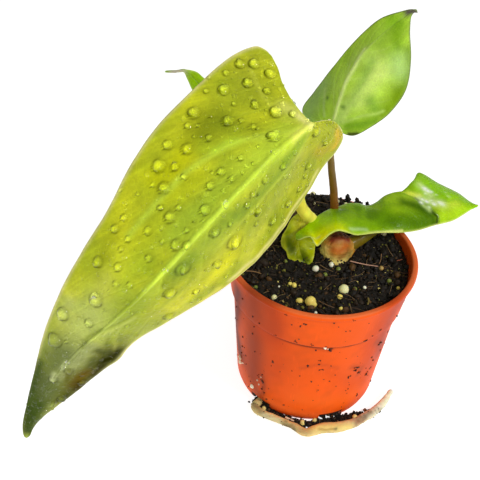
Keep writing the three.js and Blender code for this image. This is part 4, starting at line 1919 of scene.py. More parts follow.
    def heap(self, chip: tuple[float, float, float, float], rng: np.random.Generator) -> Shape:
        """Stands five lumps on each other as a bark chip.

        Args:
            chip: Its place, height and lean in mm.
            rng: The random numbers to use.

        Returns:
            The lumps as one surface.
        """
        x, y, length, lean = chip
        foot = np.array([x, y, float(self.height(x, y))])
        places = foot + np.linspace(0, 1, 5)[:, None] * [lean, 0, length * 0.85]
        places = places + rng.normal(size=places.shape) * [0.6, 0.6, 0.2]
        tints = palette(self.crumb_colours[:2], (3, 1), len(places), rng)
        sizes = rng.uniform(1.3, 2.5, len(places))
        return crumbs(places, sizes, tints, rng, steps=2, rough=0.32, flat=0.4)

    def plugs(self, rng: np.random.Generator) -> Array:
        """Picks places for the earth that shows in the pot's drain slots.

        Args:
            rng: The random numbers to use.

        Returns:
            One row for each crumb, in mm.
        """
        pot = NurseryPot()
        turn = np.radians(pot.first_slot + np.arange(pot.slots) * 360 / pot.slots)
        out = np.stack([np.cos(turn), np.sin(turn), turn * 0], 1)
        along = np.stack([-np.sin(turn), np.cos(turn), turn * 0], 1)
        shape = (pot.slots, self.plug, 1)
        reach = rng.uniform(20.5, 23.4, shape)
        aside = rng.uniform(-0.5, 0.5, shape) * (pot.slot_width - 1)
        rise = rng.uniform(0.9, pot.slot_height - 0.8, shape) * np.array([0, 0, 1])
        return (out[:, None] * reach + along[:, None] * aside + rise).reshape(-1, 3)

    def strands(self, rng: np.random.Generator, sticks: Sequence[tuple], tree: BVHTree) -> Shape:
        """Short thin fibres that lie on the crumbs, and the longer ones seen in the photograph.

        Args:
            rng: The random numbers to use.
            sticks: For each long fibre its pixels, its radius in mm and its colour.
            tree: The earth's surface.

        Returns:
            All of them as one surface.
        """
        parts = []
        for place in self.strewn(self.fibres, rng):
            turn, length = rng.uniform(0, 2 * np.pi), rng.uniform(1.5, 6)
            way = np.array([math.cos(turn), math.sin(turn), rng.uniform(-0.15, 0.3)]) * length / 2
            bend = rng.normal(size=3) * length * 0.08
            path = np.stack([place - way, place + bend, place + way]) + [0, 0, 0.7]
            thick = rng.uniform(0.05, 0.13)
            colour = self.fibre_colours[rng.integers(len(self.fibre_colours))]
            fibre = Tube(path, thick, thick * 0.6, rows=8, sides=6)
            parts.append(fibre.surface([colour, colour]))
        for pixels, thick, colour in sticks:
            path = VIEW.onto(pixels, tree)[0] + [0, 0, 0.9]
            stick = Tube(path, thick, thick * 0.7, rows=20, sides=8)
            parts.append(stick.surface([colour, colour]))
        return together(parts)

    def build(self, beads: Sequence[tuple[float, float, float, Point]],
              sticks: Sequence[tuple[tuple[Pixel, ...], float, Point]], leaf: Shape) -> None:
        """Makes the mound, its crumbs, its fibres and its feed beads.

        Args:
            beads: For each bead its place in the photograph, its radius in mm and its colour.
            sticks: For each long fibre its pixels, its radius in mm and its colour.
            leaf: The leaf that touches the earth, which no crumb may pass through.
        """
        slot = "potting_soil"
        rng = np.random.default_rng(self.seed)
        body = self.body()
        body.stand_in(self.node, "mound", slot, DirtFinish("damp_earth").material())
        finish = DirtFinish("damp_crumbs", roughness=0.65, grain=0.4, depth=0.12)
        self.pebbles(rng, leaf.tree()).piece("soil_crumbs", finish.material())
        tree = body.tree()
        finish = DirtFinish("peat_fibre", roughness=0.6, grain=0.6, depth=0.04)
        self.strands(rng, sticks, tree).piece("soil_fibres", finish.material())
        places, _, _ = VIEW.onto(beads, tree)
        more = self.strewn(self.far_beads, rng)
        more = more[more[:, 1] > self.back]
        radii = np.array([radius for _, _, radius, _ in beads])
        radii = np.concatenate([radii, rng.uniform(0.5, 1.1, len(more))])
        tints = palette(self.bead_colours, (2, 1), len(more), rng)
        tints = np.vstack([np.array([colour for *_, colour in beads]), tints])
        places = np.vstack([places, more])
        places[:, 2] += radii * 0.55
        feed = crumbs(places, radii * 2, tints, rng, steps=3, rough=0.03, flat=0.9)
        feed.piece("feed_beads", bead_finish("feed_bead_shell").material())


@dataclass(frozen=True)
class EscapedRoot:
    """The thick root that has crept out of a slot and lies round the pot's foot.

    Attributes:
        node: The solid's node.
        tube: Its path and radii.
        colours: Its colours from the slot to the tip.
        grime: The colour of the film of earth on it.
        beads: Places in the photograph and radii in mm of the beads stuck to it.
        clods: Pixels along which earth lies on the floor, its spread in mm and its crumbs.
        sliver: The pixels that a flat white sliver of mineral lies along.
        strokes: Marks on it: its own colours, and a band of painted shadow.
        specks: How many specks of earth stick to it.
        skin: How far from its middle they lie, in mm.
        ground: The height in mm at which the pixels of loose things are read.
        earth: The colours of the earth.
        bead: The colour of the beads.
        flake: The colour of the sliver.
        seed: Picks the earth's crumbs.
    """

    node: str
    tube: Tube
    colours: tuple[Point, ...]
    grime: Point
    beads: tuple[tuple[float, float, float], ...]
    clods: tuple[tuple[tuple[Pixel, ...], float, int], ...]
    sliver: tuple[Pixel, ...]
    strokes: tuple[Stroke, ...] = ()
    specks: int = 200
    skin: float = 1.32
    ground: float = 0.4
    earth: tuple[Point, ...] = (srgb(24, 17, 12), srgb(52, 36, 22), srgb(110, 84, 56))
    bead: Point = srgb(244, 226, 140)
    flake: Point = srgb(244, 216, 180)
    seed: int = 61

    KNOBS, WRINKLES = Ripples(5, 62, 0.12), Ripples(1.6, 63, 0.06)
    WIDE_FILM, FINE_FILM = Ripples(6, 64, 0.75), Ripples(1.8, 65, 0.5)

    def swell(self, share: Array, turn: Array, places: Array) -> Array:
        """A factor on the radius: knobs and wrinkles, a waist, then a belly, and a tapered tip.

        Args:
            share: The share of the length.
            turn: The angle round the root, which plays no part.
            places: The points in mm.

        Returns:
            The factor at each point.
        """
        waist, belly = 0.22 * bell(share, 0.33, 0.13), 0.24 * bell(share, 0.58, 0.1)
        tip = 0.38 * smooth((share - 0.86) / 0.14)
        return 1 - (waist - belly) - tip + self.KNOBS.at(places) + self.WRINKLES.at(places)

    def build(self) -> None:
        """Makes the root, with the things about it."""
        shape = self.tube.surface(self.colours, self.swell)
        film = self.WIDE_FILM.at(shape.points) + self.FINE_FILM.at(shape.points)
        shape.tint = blend(shape.tint, self.grime, 0.6 * clamp(film))
        shape.tint = painted(shape, self.strokes)
        finish = StalkFinish("root_skin", roughness=0.6, grain=0.8, depth=0.1, coat=0.0)
        shape.stand_in(self.node, "surface", "root", finish.material())
        self.litter()

    def litter(self) -> None:
        """Makes the earth on and round the root, the beads that stick to it and the sliver."""
        rng = np.random.default_rng(self.seed)
        share = rng.uniform(0.02, 0.86, self.specks)
        out = unit(rng.normal(size=(self.specks, 3)) + [0, 0, 0.3])
        parts = [Line(self.tube.path).at(share) + out * self.skin]
        sizes = [rng.uniform(0.2, 0.7, self.specks) ** 1.4]
        far = 99
        square = (-far, -far), (far, -far), (far, far), (-far, far)
        corners = [(x, y, self.ground) for x, y in square]
        ground = BVHTree.FromPolygons(corners, [(0, 1, 2, 3)])
        for pixels, spread, count in self.clods:
            track, _, _ = VIEW.onto(pixels, ground)
            offset = rng.normal(size=(count, 3)) * [spread, spread, 0]
            heaped = np.exp(-(offset**2).sum(1) / spread**2 / 3)
            rise = np.abs(rng.normal(size=count)) * 0.55 * heaped
            parts.append(Line(track).at(rng.random(count)) + offset + rise[:, None] * [0, 0, 1])
            sizes.append(0.35 + 1.1 * rng.random(count) ** 1.6)
        places, widths = np.vstack(parts), np.concatenate(sizes)
        places[:, 2] = np.maximum(places[:, 2], widths * 0.55)
        tints = palette(self.earth, (6, 3, 1), len(places), rng)
        dirt = crumbs(places, widths, tints, rng)
        finish = DirtFinish("root_earth", roughness=0.8, grain=0.4, depth=0.1)
        dirt.piece("root_dirt", finish.material())
        path = VIEW.onto(self.sliver, ground)[0] + [0, 0, 1.3]
        flake = Tube(path, 0.4, 0.25, rows=24, sides=10).surface([self.flake, self.flake])
        flake.piece("root_sliver", StalkFinish("pale_flake", roughness=0.6).material())
        spots, _, _ = VIEW.onto(self.beads, ground)
        radii = np.array(self.beads)[:, 2]
        spots[:, 2] = radii * 1.1 + 0.5
        tints = np.tile(self.bead, (len(spots), 1))
        beads = crumbs(spots, radii * 2, tints, rng, steps=3, rough=0.03, flat=0.9)
        beads.piece("root_beads", bead_finish("root_bead_shell").material())


@dataclass(frozen=True)
class Studio:
    """A white floor and soft light, strongest from the upper right.

    Attributes:
        floor_size: The floor's side in m.
        sky: The world's brightness.
        key: Place in m, width in m and watts of the main light.
        fill: The same for the weak light from the front left.
        target: What the lights look at, in m.
        white: The floor's colour.
        glow: How much light the floor gives by itself.
        drop: How far the floor lies below the pot's base, in m, so that the two don't touch.
    """

    floor_size: float = 6.0
    sky: float = 0.36
    key: tuple[Point, float, float] = ((0.5, -0.38, 0.62), 0.16, 3.2)
    fill: tuple[Point, float, float] = ((0.1, -0.9, 0.55), 0.5, 1.3)
    target: Point = (-0.015, -0.01, 0.06)
    white: Point = (0.5, 0.5, 0.5)
    glow: float = 0.84
    drop: float = 0.0002

    def build(self) -> None:
        """Makes the floor, the world and the lights."""
        self.lay_floor()
        world = bpy.data.worlds.new("studio")
        world.use_nodes = True
        sky = world.node_tree.nodes["Background"].inputs
        sky["Color"].default_value = (1, 1, 1, 1)
        sky["Strength"].default_value = self.sky
        bpy.context.scene.world = world
        for name, (place, width, watts) in (("key", self.key), ("fill", self.fill)):
            data = bpy.data.lights.new(name, "AREA")
            data.shape, data.size, data.energy = "DISK", width, watts
            lamp = bpy.data.objects.new(name, data)
            way = Vector(self.target) - Vector(place)
            lamp.rotation_euler = way.to_track_quat("-Z", "Y").to_euler()
            lamp.location = place
            bpy.context.scene.collection.objects.link(lamp)
        bpy.context.scene.view_settings.view_transform = "Standard"

    def lay_floor(self) -> None:
        """Makes the white floor, which glows a little and isn't part of the object."""
        half = self.floor_size / 2
        corners = [(-half, -half, 0), (half, -half, 0), (half, half, 0), (-half, half, 0)]
        mesh = bpy.data.meshes.new("floor")
        mesh.from_pydata(corners, [], [(0, 1, 2, 3)])
        shader = Shader(
            "floor_paper", base_color=(*self.white, 1), roughness=0.9,
            emission_color=(1, 1, 1, 1), emission_strength=self.glow,
        )
        mesh.materials.append(shader.material)
        floor = bpy.data.objects.new("floor", mesh)
        floor.location.z = -self.drop
        bpy.context.scene.collection.objects.link(floor)


BIG_FINISH = LeafFinish(
    "big_leaf_skin", base=srgb(174, 186, 34), second=srgb(206, 208, 34), third=srgb(140, 160, 20),
    vein=srgb(218, 242, 72), edge=srgb(236, 230, 150), under=srgb(160, 172, 74), clouds=0.75,
    roughness=0.34, shine=0.12, coat=0.05,
)
UPRIGHT_FINISH = LeafFinish(
    "upright_leaf_skin",
    base=srgb(164, 204, 50), second=srgb(200, 234, 80), third=srgb(124, 170, 12),
    vein=srgb(222, 240, 140), edge=srgb(104, 112, 70), under=srgb(150, 190, 96), clouds=0.4,
    roughness=0.42, shine=0.1, coat=0.03,
)
GLOSSY_FINISH = LeafFinish(
    "glossy_leaf_skin", base=srgb(124, 166, 0), second=srgb(162, 206, 0), third=srgb(84, 126, 0),
    vein=srgb(196, 212, 60), edge=srgb(206, 216, 110), under=srgb(120, 160, 40), clouds=0.5,
    roughness=0.24, shine=0.1, coat=0.07,
)
BACK_FINISH = LeafFinish(
    "back_leaf_skin", base=srgb(140, 188, 4), second=srgb(168, 208, 10), third=srgb(112, 160, 2),
    vein=srgb(190, 220, 100), edge=srgb(206, 226, 120), under=srgb(140, 182, 80), clouds=0.5,
    roughness=0.42, shine=0.1, coat=0.02,
)
SMALL_FINISH = LeafFinish(
    "small_leaf_skin", base=srgb(160, 174, 2), second=srgb(212, 222, 10), third=srgb(110, 124, 0),
    vein=srgb(206, 214, 70), edge=srgb(196, 200, 60), under=srgb(130, 140, 30), clouds=0.6,
    roughness=0.34, coat=0.1,
)

BIG_STROKES = marks(
    (((254, 56), (244, 66), (240, 76)), 4.5, (160, 168, 40), 0.6),
    (((242, 88), (234, 96), (224, 102)), 3.4, (184, 194, 40), 0.6),
    (((262, 84), (254, 92), (246, 98)), 3.0, (150, 162, 30), 0.5),
    (((222, 126), (240, 130), (258, 132)), 2.8, (140, 156, 24), 0.55),
    (((214, 104), (206, 112)), 3.0, (196, 202, 40), 0.5),
    (((200, 136), (206, 124), (214, 118)), 4.0, (120, 134, 10), 0.7),
    (((262, 100), (282, 108)), 4.0, (156, 168, 38), 0.5),
    (((284, 108), (296, 113), (306, 120)), 1.8, (230, 232, 112), 0.75),
    (((284, 140), (266, 150), (248, 162)), 2.8, (234, 250, 60), 0.7),
    (((182, 158), (172, 172), (156, 178)), 3.6, (206, 210, 10), 0.8),
    (((122, 262), (120, 272), (112, 284)), 4.0, (230, 236, 50), 0.65),
    (((110, 240), (104, 256), (98, 270)), 2.4, (166, 174, 20), 0.6),
    (((188, 205), (172, 226), (150, 250)), 3.5, (168, 186, 44), 0.5),
    (((108, 282), (94, 306), (82, 326)), 3.2, (196, 200, 92), 0.5),
    (((126, 292), (112, 310)), 2.4, (160, 176, 70), 0.5),
    (((300, 152), (288, 176), (272, 204), (250, 232)), 2.4, (168, 174, 66), 0.6),
    (((282, 186), (262, 212), (240, 236)), 1.6, (146, 162, 34), 0.5),
    (((230, 244), (206, 268), (176, 296), (146, 318)), 1.5, (196, 198, 58), 0.55),
    (((214, 246), (190, 268), (160, 296)), 1.2, (142, 158, 26), 0.5),
    (((192, 278), (168, 300), (140, 322)), 1.0, (134, 150, 20), 0.5),
    (((290, 132), (262, 158), (236, 178), (206, 206), (176, 234)), 4.5, (164, 198, 58), 0.5),
    (((286, 168), (262, 192), (236, 218), (206, 244), (176, 270)), 2.4, (122, 152, 36), 0.6),
    (((150, 292), (132, 306), (118, 318)), 3.0, (170, 190, 52), 0.6),
    (((200, 178), (184, 196), (168, 196)), 2.4, (196, 206, 24), 0.6),
    (((162, 222), (150, 236), (140, 250)), 3.0, (196, 206, 30), 0.5),
    (((204, 150), (220, 148), (232, 140)), 2.4, (176, 200, 40), 0.5),
    (((142, 262), (130, 274), (122, 290)), 3.0, (186, 206, 44), 0.5),
    (((311, 125), (282, 135), (242, 141), (212, 155), (186, 173), (160, 200), (130, 235)),
     0.9, (204, 226, 66), 0.75, 0.14),
    (((240, 141), (226, 144), (214, 152)), 0.9, (206, 236, 60), 0.7, 0.15),
    (((311, 125), (284, 122), (262, 96), (250, 70)), 0.6, (204, 210, 70), 0.45, 0.08),
    (((311, 125), (296, 158), (270, 188), (240, 222), (214, 250)), 0.6, (200, 212, 72), 0.4, 0.08),
    (((140, 304), (126, 320), (106, 332)), 3.8, (136, 154, 26), 0.7),
    (((92, 318), (76, 336), (66, 350)), 6.0, (194, 206, 108), 0.8),
    (((64, 356), (50, 376), (44, 392)), 7.5, (96, 108, 50), 0.9),
    (((112, 350), (100, 364), (86, 378), (68, 392)), 5.0, (78, 80, 14), 0.9),
    (((88, 346), (76, 362), (62, 376)), 2.6, (150, 158, 90), 0.8),
    (((46, 384), (38, 402), (32, 418)), 3.6, (92, 104, 46), 0.9),
    (((36, 404), (31, 416), (29, 424), (28.5, 430)), 4.2, (60, 78, 8), 1.0),
    (((40, 362), (34, 386), (28, 408)), 1.7, (58, 78, 16), 0.85),
    # Painted shade in the creases of the fold near the tip, where these strokes sink the surface,
    # and painted light on the ridges that they raise, down to its dark deepest fold.
    (((136, 312), (116, 324), (100, 330), (88, 337), (82, 347)), 0.6, (122, 136, 34), 0.6, -0.1),
    (((134, 317), (116, 328), (102, 334)), 0.7, (196, 202, 96), 0.45, 0.06),
    (((121, 334), (120, 348), (117, 360)), 0.8, (112, 122, 16), 0.5, -0.1),
    (((115, 336), (114, 348), (113, 358)), 0.7, (180, 186, 60), 0.4, 0.05),
    (((126, 336), (125, 348), (120, 360)), 0.8, (130, 138, 22), 0.5, -0.08),
    (((108, 338), (106, 348), (108, 358)), 0.8, (104, 112, 20), 0.5, -0.08),
    (((116, 352), (112, 358), (105, 360)), 3.0, (30, 32, 0), 0.95, -0.12),
    (((98, 350), (104, 353)), 1.5, (66, 72, 18), 0.8),
    (((93, 358), (90, 366)), 1.3, (72, 80, 24), 0.7),
    (((102, 366), (94, 374), (86, 384)), 1.8, (40, 38, 4), 0.85),
    (((85, 372), (79, 377), (75, 383)), 2.5, (92, 76, 0), 1.0),
    (((79, 384), (76, 388)), 1.6, (60, 50, 0), 0.9),
    # Painted shade: two drops that look dark, painted dark olive on the blade under them.
    (((69, 370), (67, 380)), 1.1, (92, 92, 12), 0.9),
    (((68, 394), (63, 398), (58, 400)), 1.5, (66, 70, 2), 0.95),
    # Painted highlights: pale glints on those drops and one more near the tip.
    (((52, 379), (55, 373)), 0.7, (196, 204, 140), 0.7, 0.1),
    (((62, 368), (67, 361)), 0.6, (186, 196, 130), 0.6, 0.1),
    (((51, 404),), 0.9, (150, 164, 84), 0.7, 0.15),
    (((32, 404), (33, 398)), 1.3, (74, 92, 16), 0.7),
    (((222, 266), (198, 288), (176, 306)), 2.4, (216, 214, 44), 0.65),
    (((246, 262), (250, 244), (262, 230)), 2.2, (204, 206, 66), 0.55),
    (((316, 150), (322, 152), (330, 146)), 1.8, (176, 160, 24), 0.75),
    (((336, 132), (338, 138), (334, 146)), 1.4, (214, 176, 40), 0.8),
    (((206, 250), (218, 240), (234, 228)), 2.6, (178, 188, 56), 0.5),
    (((218, 288), (202, 301), (188, 311)), 1.4, (232, 228, 90), 0.7),
    (((62, 314), (70, 302)), 2.5, (196, 206, 120), 0.5),
    (((304, 134), (298, 146), (284, 160)), 1.6, (120, 158, 20), 0.6),
    (((309, 125), (303, 130), (294, 138)), 1.1, (244, 250, 104), 0.8),
    (((298, 116), (304, 121), (309, 125)), 0.8, (246, 244, 140), 0.8),
    (((316.5, 170.5), (307, 188.5), (294.5, 205), (283.5, 222), (271, 239), (259, 253),
      (245, 265.5), (229.5, 279)), 0.9, (240, 230, 150), 0.6),
    (((236, 240), (230, 256), (216, 274)), 2.4, (216, 214, 22), 0.55),
)
UPRIGHT_STROKES = marks(
    (((308, 114), (314, 100), (322, 86)), 4.0, (150, 182, 108), 0.75),
    (((378, 40), (388, 30), (396, 26)), 2.4, (136, 180, 40), 0.7),
    (((362, 56), (374, 60), (384, 70)), 2.6, (206, 232, 112), 0.7),
    (((336, 124), (342, 116), (346, 106)), 2.0, (186, 216, 112), 0.7),
    (((407, 50), (408, 66), (404, 84), (396, 100)), 1.1, (110, 146, 8), 0.8),
    (((378, 72), (368, 86), (358, 100)), 3.0, (220, 244, 124), 0.8),
    (((398, 92), (394, 102), (384, 112)), 2.4, (116, 150, 0), 0.9),
    (((392, 20), (398, 24)), 2.2, (124, 172, 16), 0.8),
    (((396, 36), (397, 46)), 2.0, (124, 170, 8), 0.8),
    (((348, 126), (360, 125), (374, 121)), 1.6, (104, 152, 14), 0.8),
    (((398, 62), (400, 70)), 3.0, (178, 214, 124), 0.7),
    (((356, 70), (368, 52), (380, 38)), 3.0, (172, 208, 72), 0.5),
    (((370, 100), (374, 108)), 1.8, (110, 160, 50), 0.6),
    (((328, 98),), 0.6, (76, 110, 40), 0.8),
    (((343.4, 107),), 0.8, (96, 132, 44), 0.8),
    (((334.5, 118.4), (339.5, 101.8), (345.9, 84), (354.8, 67.5), (365, 49.6)),
     0.5, (222, 242, 146), 0.9, 0.1),
    (((352, 104), (362, 84), (372, 62)), 1.5, (126, 172, 66), 0.5),
    (((325, 116), (324.3, 105.6), (326.2, 89)), 0.5, (184, 210, 120), 0.7, 0.08),
    (((343, 121), (351, 104.4), (362.5, 89), (373.9, 71.3)), 0.5, (196, 222, 112), 0.6, 0.06),
    (((343.4, 122.2), (361.2, 115.8), (376.5, 113.3), (382.8, 110.7)),
     0.5, (180, 212, 96), 0.75, 0.08),
    (((349, 134), (357, 133.5)), 0.7, (44, 40, 20), 0.9),
    (((408, 12), (411, 11.5), (415, 12)), 1.3, (90, 84, 76), 1.0),
)
GLOSSY_STROKES = marks(
    # Painted shade: the blade's near half, which faces the front and away from the light, painted
    # dark green.
    (((336, 212), (350, 208), (362, 210)), 2.6, (86, 128, 4), 0.8),
    (((366, 216), (394, 220), (424, 220)), 3.6, (84, 124, 2), 0.85),
    (((384, 203), (396, 205), (408, 204)), 2.6, (176, 212, 30), 0.8),
    (((382, 199), (396, 197), (408, 199)), 2.2, (166, 204, 24), 0.75),
    (((348, 206), (352, 216), (346, 226)), 1.8, (136, 176, 14), 0.6),
    (((356, 224), (384, 224), (410, 224)), 1.6, (124, 172, 6), 0.6),
    (((390, 204), (406, 210), (418, 218)), 1.2, (120, 164, 10), 0.5),
    (((304, 230), (318, 222), (336, 224)), 3.0, (166, 210, 0), 0.9),
    (((314, 238), (324, 232), (340, 229)), 2.6, (216, 232, 0), 0.95),
    (((316, 245), (320, 239), (325, 237)), 1.5, (240, 232, 4), 1.0),
    # The curled lobe's end: its underside's colour, darkened by painted shade under the curl.
    (((299, 243), (306, 246), (312, 243)), 2.2, (92, 112, 46), 0.9),
    # Painted light: the tip half, which faces up to the light, painted bright lime here and in the
    # lime strokes below.
    (((426, 184), (438, 190), (452, 198), (466, 205)), 5.5, (150, 212, 0), 0.95),
    (((436, 180), (452, 189), (466, 199)), 1.6, (110, 176, 0), 0.8),
    (((440, 216), (450, 213), (462, 208)), 3.2, (176, 216, 24), 0.9),
    (((436, 206), (448, 206), (456, 204)), 1.6, (204, 228, 60), 0.7),
    (((417, 180), (418, 190), (424, 198)), 1.8, (160, 210, 30), 0.8),
    # Painted shade along the fold between the shaded near half and the lit tip half, and in its
    # crease.
    (((404, 203), (420, 208), (432, 217), (433, 223)), 2.2, (58, 96, 0), 0.9),
    (((384, 222), (404, 224), (424, 224)), 2.2, (72, 112, 0), 0.75),
    (((415, 198), (428, 209), (437, 217), (436, 225)), 0.6, (36, 62, 2), 0.9, -0.15),
    (((398, 192.5), (409, 194), (419, 196)), 1.1, (222, 236, 76), 0.95),
    # Painted highlights: pale patches and white glints where the wet tip half reflects the light.
    (((420, 186), (425, 190), (430, 196)), 1.5, (214, 236, 150), 0.7),
    (((420, 199), (430, 202), (442, 204)), 1.5, (222, 240, 166), 0.75),
    (((424, 206), (429, 210)), 0.9, (200, 230, 130), 0.7),
    (((424.4, 189.2),), 0.9, (250, 255, 240), 0.95),
    (((427.6, 191.4),), 0.8, (248, 255, 236), 0.95),
    (((421, 203),), 0.7, (244, 252, 230), 0.9),
    (((441, 204),), 0.8, (246, 255, 226), 0.9),
    (((425, 194),), 0.5, (226, 244, 190), 0.8),
    (((431, 192.5),), 0.6, (240, 250, 220), 0.9),
    (((436, 195.5),), 0.45, (216, 240, 170), 0.8),
    (((422, 200),), 0.6, (240, 248, 226), 0.9),
    (((426.5, 202),), 0.7, (248, 254, 238), 0.95),
    (((431, 201),), 0.5, (230, 244, 200), 0.8),
    (((434, 204.5),), 0.7, (246, 252, 234), 0.95),
    (((439, 203),), 0.55, (238, 250, 214), 0.9),
    (((443, 205),), 0.5, (226, 244, 190), 0.8),
    (((429, 207.5),), 0.6, (222, 240, 190), 0.8),
    (((445, 193),), 0.45, (214, 240, 150), 0.7),
    (((448, 197),), 0.7, (206, 236, 130), 0.7),
    # Painted highlight along the near edge.
    (((350, 229.5), (358, 229.5), (366, 230)), 0.6, (190, 220, 150), 0.6),
    (((364, 206), (362, 216), (366, 226)), 1.2, (128, 172, 4), 0.6),
    (((380, 200), (386, 208), (382, 220)), 1.6, (110, 156, 0), 0.6),
    (((342, 206), (330, 212), (318, 216)), 1.6, (160, 196, 40), 0.6),
    (((296.3, 241), (304, 238), (312.8, 238.5), (317.2, 246), (328, 237.2), (336.9, 232.1),
      (345.7, 232), (349.5, 234.4), (378.7, 232.8), (401.5, 230.9)), 0.45, (222, 226, 132), 0.9),
)
SMALL_STROKES = marks(
    (((300, 208), (304, 216), (300, 224)), 2.4, (226, 222, 64), 0.9),
    (((284, 226), (288, 218), (296, 210)), 2.2, (240, 238, 112), 0.9),
    (((296, 222), (300, 230)), 1.2, (150, 152, 6), 0.7),
    (((290, 246), (298, 254), (304, 260)), 1.9, (76, 96, 2), 0.8),
    (((287, 258), (294, 261), (302, 267), (308, 271)), 0.6, (206, 210, 30), 0.9),
    (((288, 226), (286, 240), (289, 250)), 1.2, (96, 118, 2), 0.6),
    (((298, 232), (296, 244), (299, 254)), 1.0, (184, 190, 8), 0.6),
    (((303, 252), (306, 260)), 1.3, (52, 74, 6), 0.6),
    (((284, 236), (285, 246), (288, 256)), 0.5, (190, 196, 30), 0.8),
)

BIG_DROPS = (
    (254, 64, 11), (240, 64, 10), (270, 74, 11), (226, 73, 7), (248, 83, 11), (224, 90, 12),
    (267, 91, 8), (206, 91, 6), (209, 78, 4), (255, 105, 9), (194, 113, 11, 13), (276, 112, 13),
    (228, 121, 12), (234, 104, 6), (188, 126, 8), (211, 117, 4), (241, 121, 6), (198, 126, 5),
    (209, 138, 8), (274, 136, 13), (253, 127, 5, 8), (258, 129, 5), (168, 145, 11),
    (187, 149, 8, 12), (194, 137, 4), (182, 137, 4), (159, 166, 14), (175, 167, 9), (184, 177, 7),
    (164, 188, 13, 9), (153, 185, 6), (221, 172, 9), (212, 173, 4), (210, 186, 9), (201, 197, 3),
    (232, 179, 4, 8), (242, 173, 4), (223, 191, 5), (241, 158, 7), (258, 147, 4), (253, 164, 4),
    (283, 166, 9), (265, 180, 9), (253, 194, 8), (271, 182, 3), (247, 205, 8), (258, 211, 9),
    (288, 203, 9), (299, 189, 7), (293, 114, 8), (292, 124, 3), (266, 110, 3), (261, 118, 3),
    (266, 122, 3), (160, 208, 7), (194, 191, 3), (316, 132, 10), (329, 133, 3), (325, 143, 6),
    (308, 166, 8), (238, 229, 4), (273, 220, 8, 12), (256, 224, 6), (235, 242, 10, 18),
    (258, 194, 4), (305, 176, 6), (121, 190, 4), (138, 194, 5), (161, 208, 5), (179, 208, 7),
    (170, 217, 12, 9), (124, 218, 8), (115, 229, 9), (205, 210, 11), (194, 221, 4), (203, 221, 3),
    (148, 231, 9), (187, 230, 6), (128, 239, 7), (176, 245, 11), (162, 242, 5), (187, 246, 4, 10),
    (121, 249, 6), (149, 258, 8), (215, 232, 8, 13), (230, 224, 6), (217, 264, 10),
    (183, 269, 6, 16), (118, 267, 9), (98, 262, 11), (116, 284, 7), (130, 285, 7), (96, 300, 14),
    (196, 291, 8), (170, 293, 10, 14), (226, 276, 5), (132, 313, 4), (105, 310, 3),
    (169, 316, 9, 12), (127, 326, 5), (109, 291, 3), (63, 314, 13), (89, 323, 9), (55, 340, 15),
    (66, 342, 4), (53, 380, 4, 9), (69, 371, 6, 9), (52, 405, 4), (62, 398, 9), (82, 382, 8),
    (95, 368, 6),
)

BIG_LEAF = Blade(
    node="big_leaf_blade", finish=BIG_FINISH, slot="yellow_olive_leaf", face=(-0.2, -0.9, 0.5),
    midrib=(
        (-10, -20, 110), (-17, -27, 107.5), (-25, -35, 102), (-35, -42, 92.5), (-45, -46, 80.5),
        (-55, -47, 68), (-69, -46, 50), (-81.5, -44, 26), (-87.4, -42, 8.2),
    ),
    inner=(
        (-20.3, -3, 119), (-18.5, -5.5, 117), (-17.3, -9, 115), (-15.5, -13, 113.5),
        (-13, -16.5, 111.8), (-10, -20, 110),
    ),
    left=(
        (-20.3, -3, 119), (-22, -2, 120.3), (-24, -1.5, 120.8), (-26, -2, 120.5), (-28, -3, 120),
        (-31.5, -5.5, 118.5), (-39.5, -13.5, 113.5), (-47.5, -21.5, 107), (-53.5, -28, 99),
        (-58, -33, 90.5), (-64, -37, 81), (-70.2, -40, 69.5), (-75.5, -42, 56.5), (-80, -43, 41.5),
        (-84.5, -43, 26), (-86.9, -42.6, 17.5), (-87.9, -42.3, 12), (-88, -42.1, 9.6),
        (-87.4, -42, 8.2),
    ),
    right=(
        (-10, -20, 110), (-7, -16, 109), (-4, -12, 106.8), (-1.3, -9, 103.3), (0, -7, 98.8),
        (-1.5, -7.5, 95), (-4.9, -10.4, 91.4), (-7.6, -12.8, 86), (-10.8, -16.6, 82.6),
        (-16.6, -24.8, 77.4), (-23, -31, 72.8), (-31, -35, 67.2),
        (-40.5, -38, 61), (-51, -40, 53.5), (-54.5, -40.5, 49.5), (-57, -40.5, 45),
        (-60, -41, 42.5), (-72, -42, 29.5), (-82, -42, 18), (-85.2, -42, 12.6),
        (-86.3, -42, 9.6), (-87.4, -42, 8.2),
    ),
    lobe=(0.2, 0.15), lobe_rows=0.3, bow=(0.02, 0.04), rows=290, columns=76, rib=0.7,
    rib_width=1.15, laterals=11, sweep=0.2, quilt=0.14, vein_share=0.3, margin=0.8,
    # The left half is painted lighter and the right half darker: painted light and shade.
    halves=(1.1, 0.78), rib_end=0.78, edge_end=0.81,
    strokes=BIG_STROKES, drops=WaterDrops(BIG_DROPS),
)
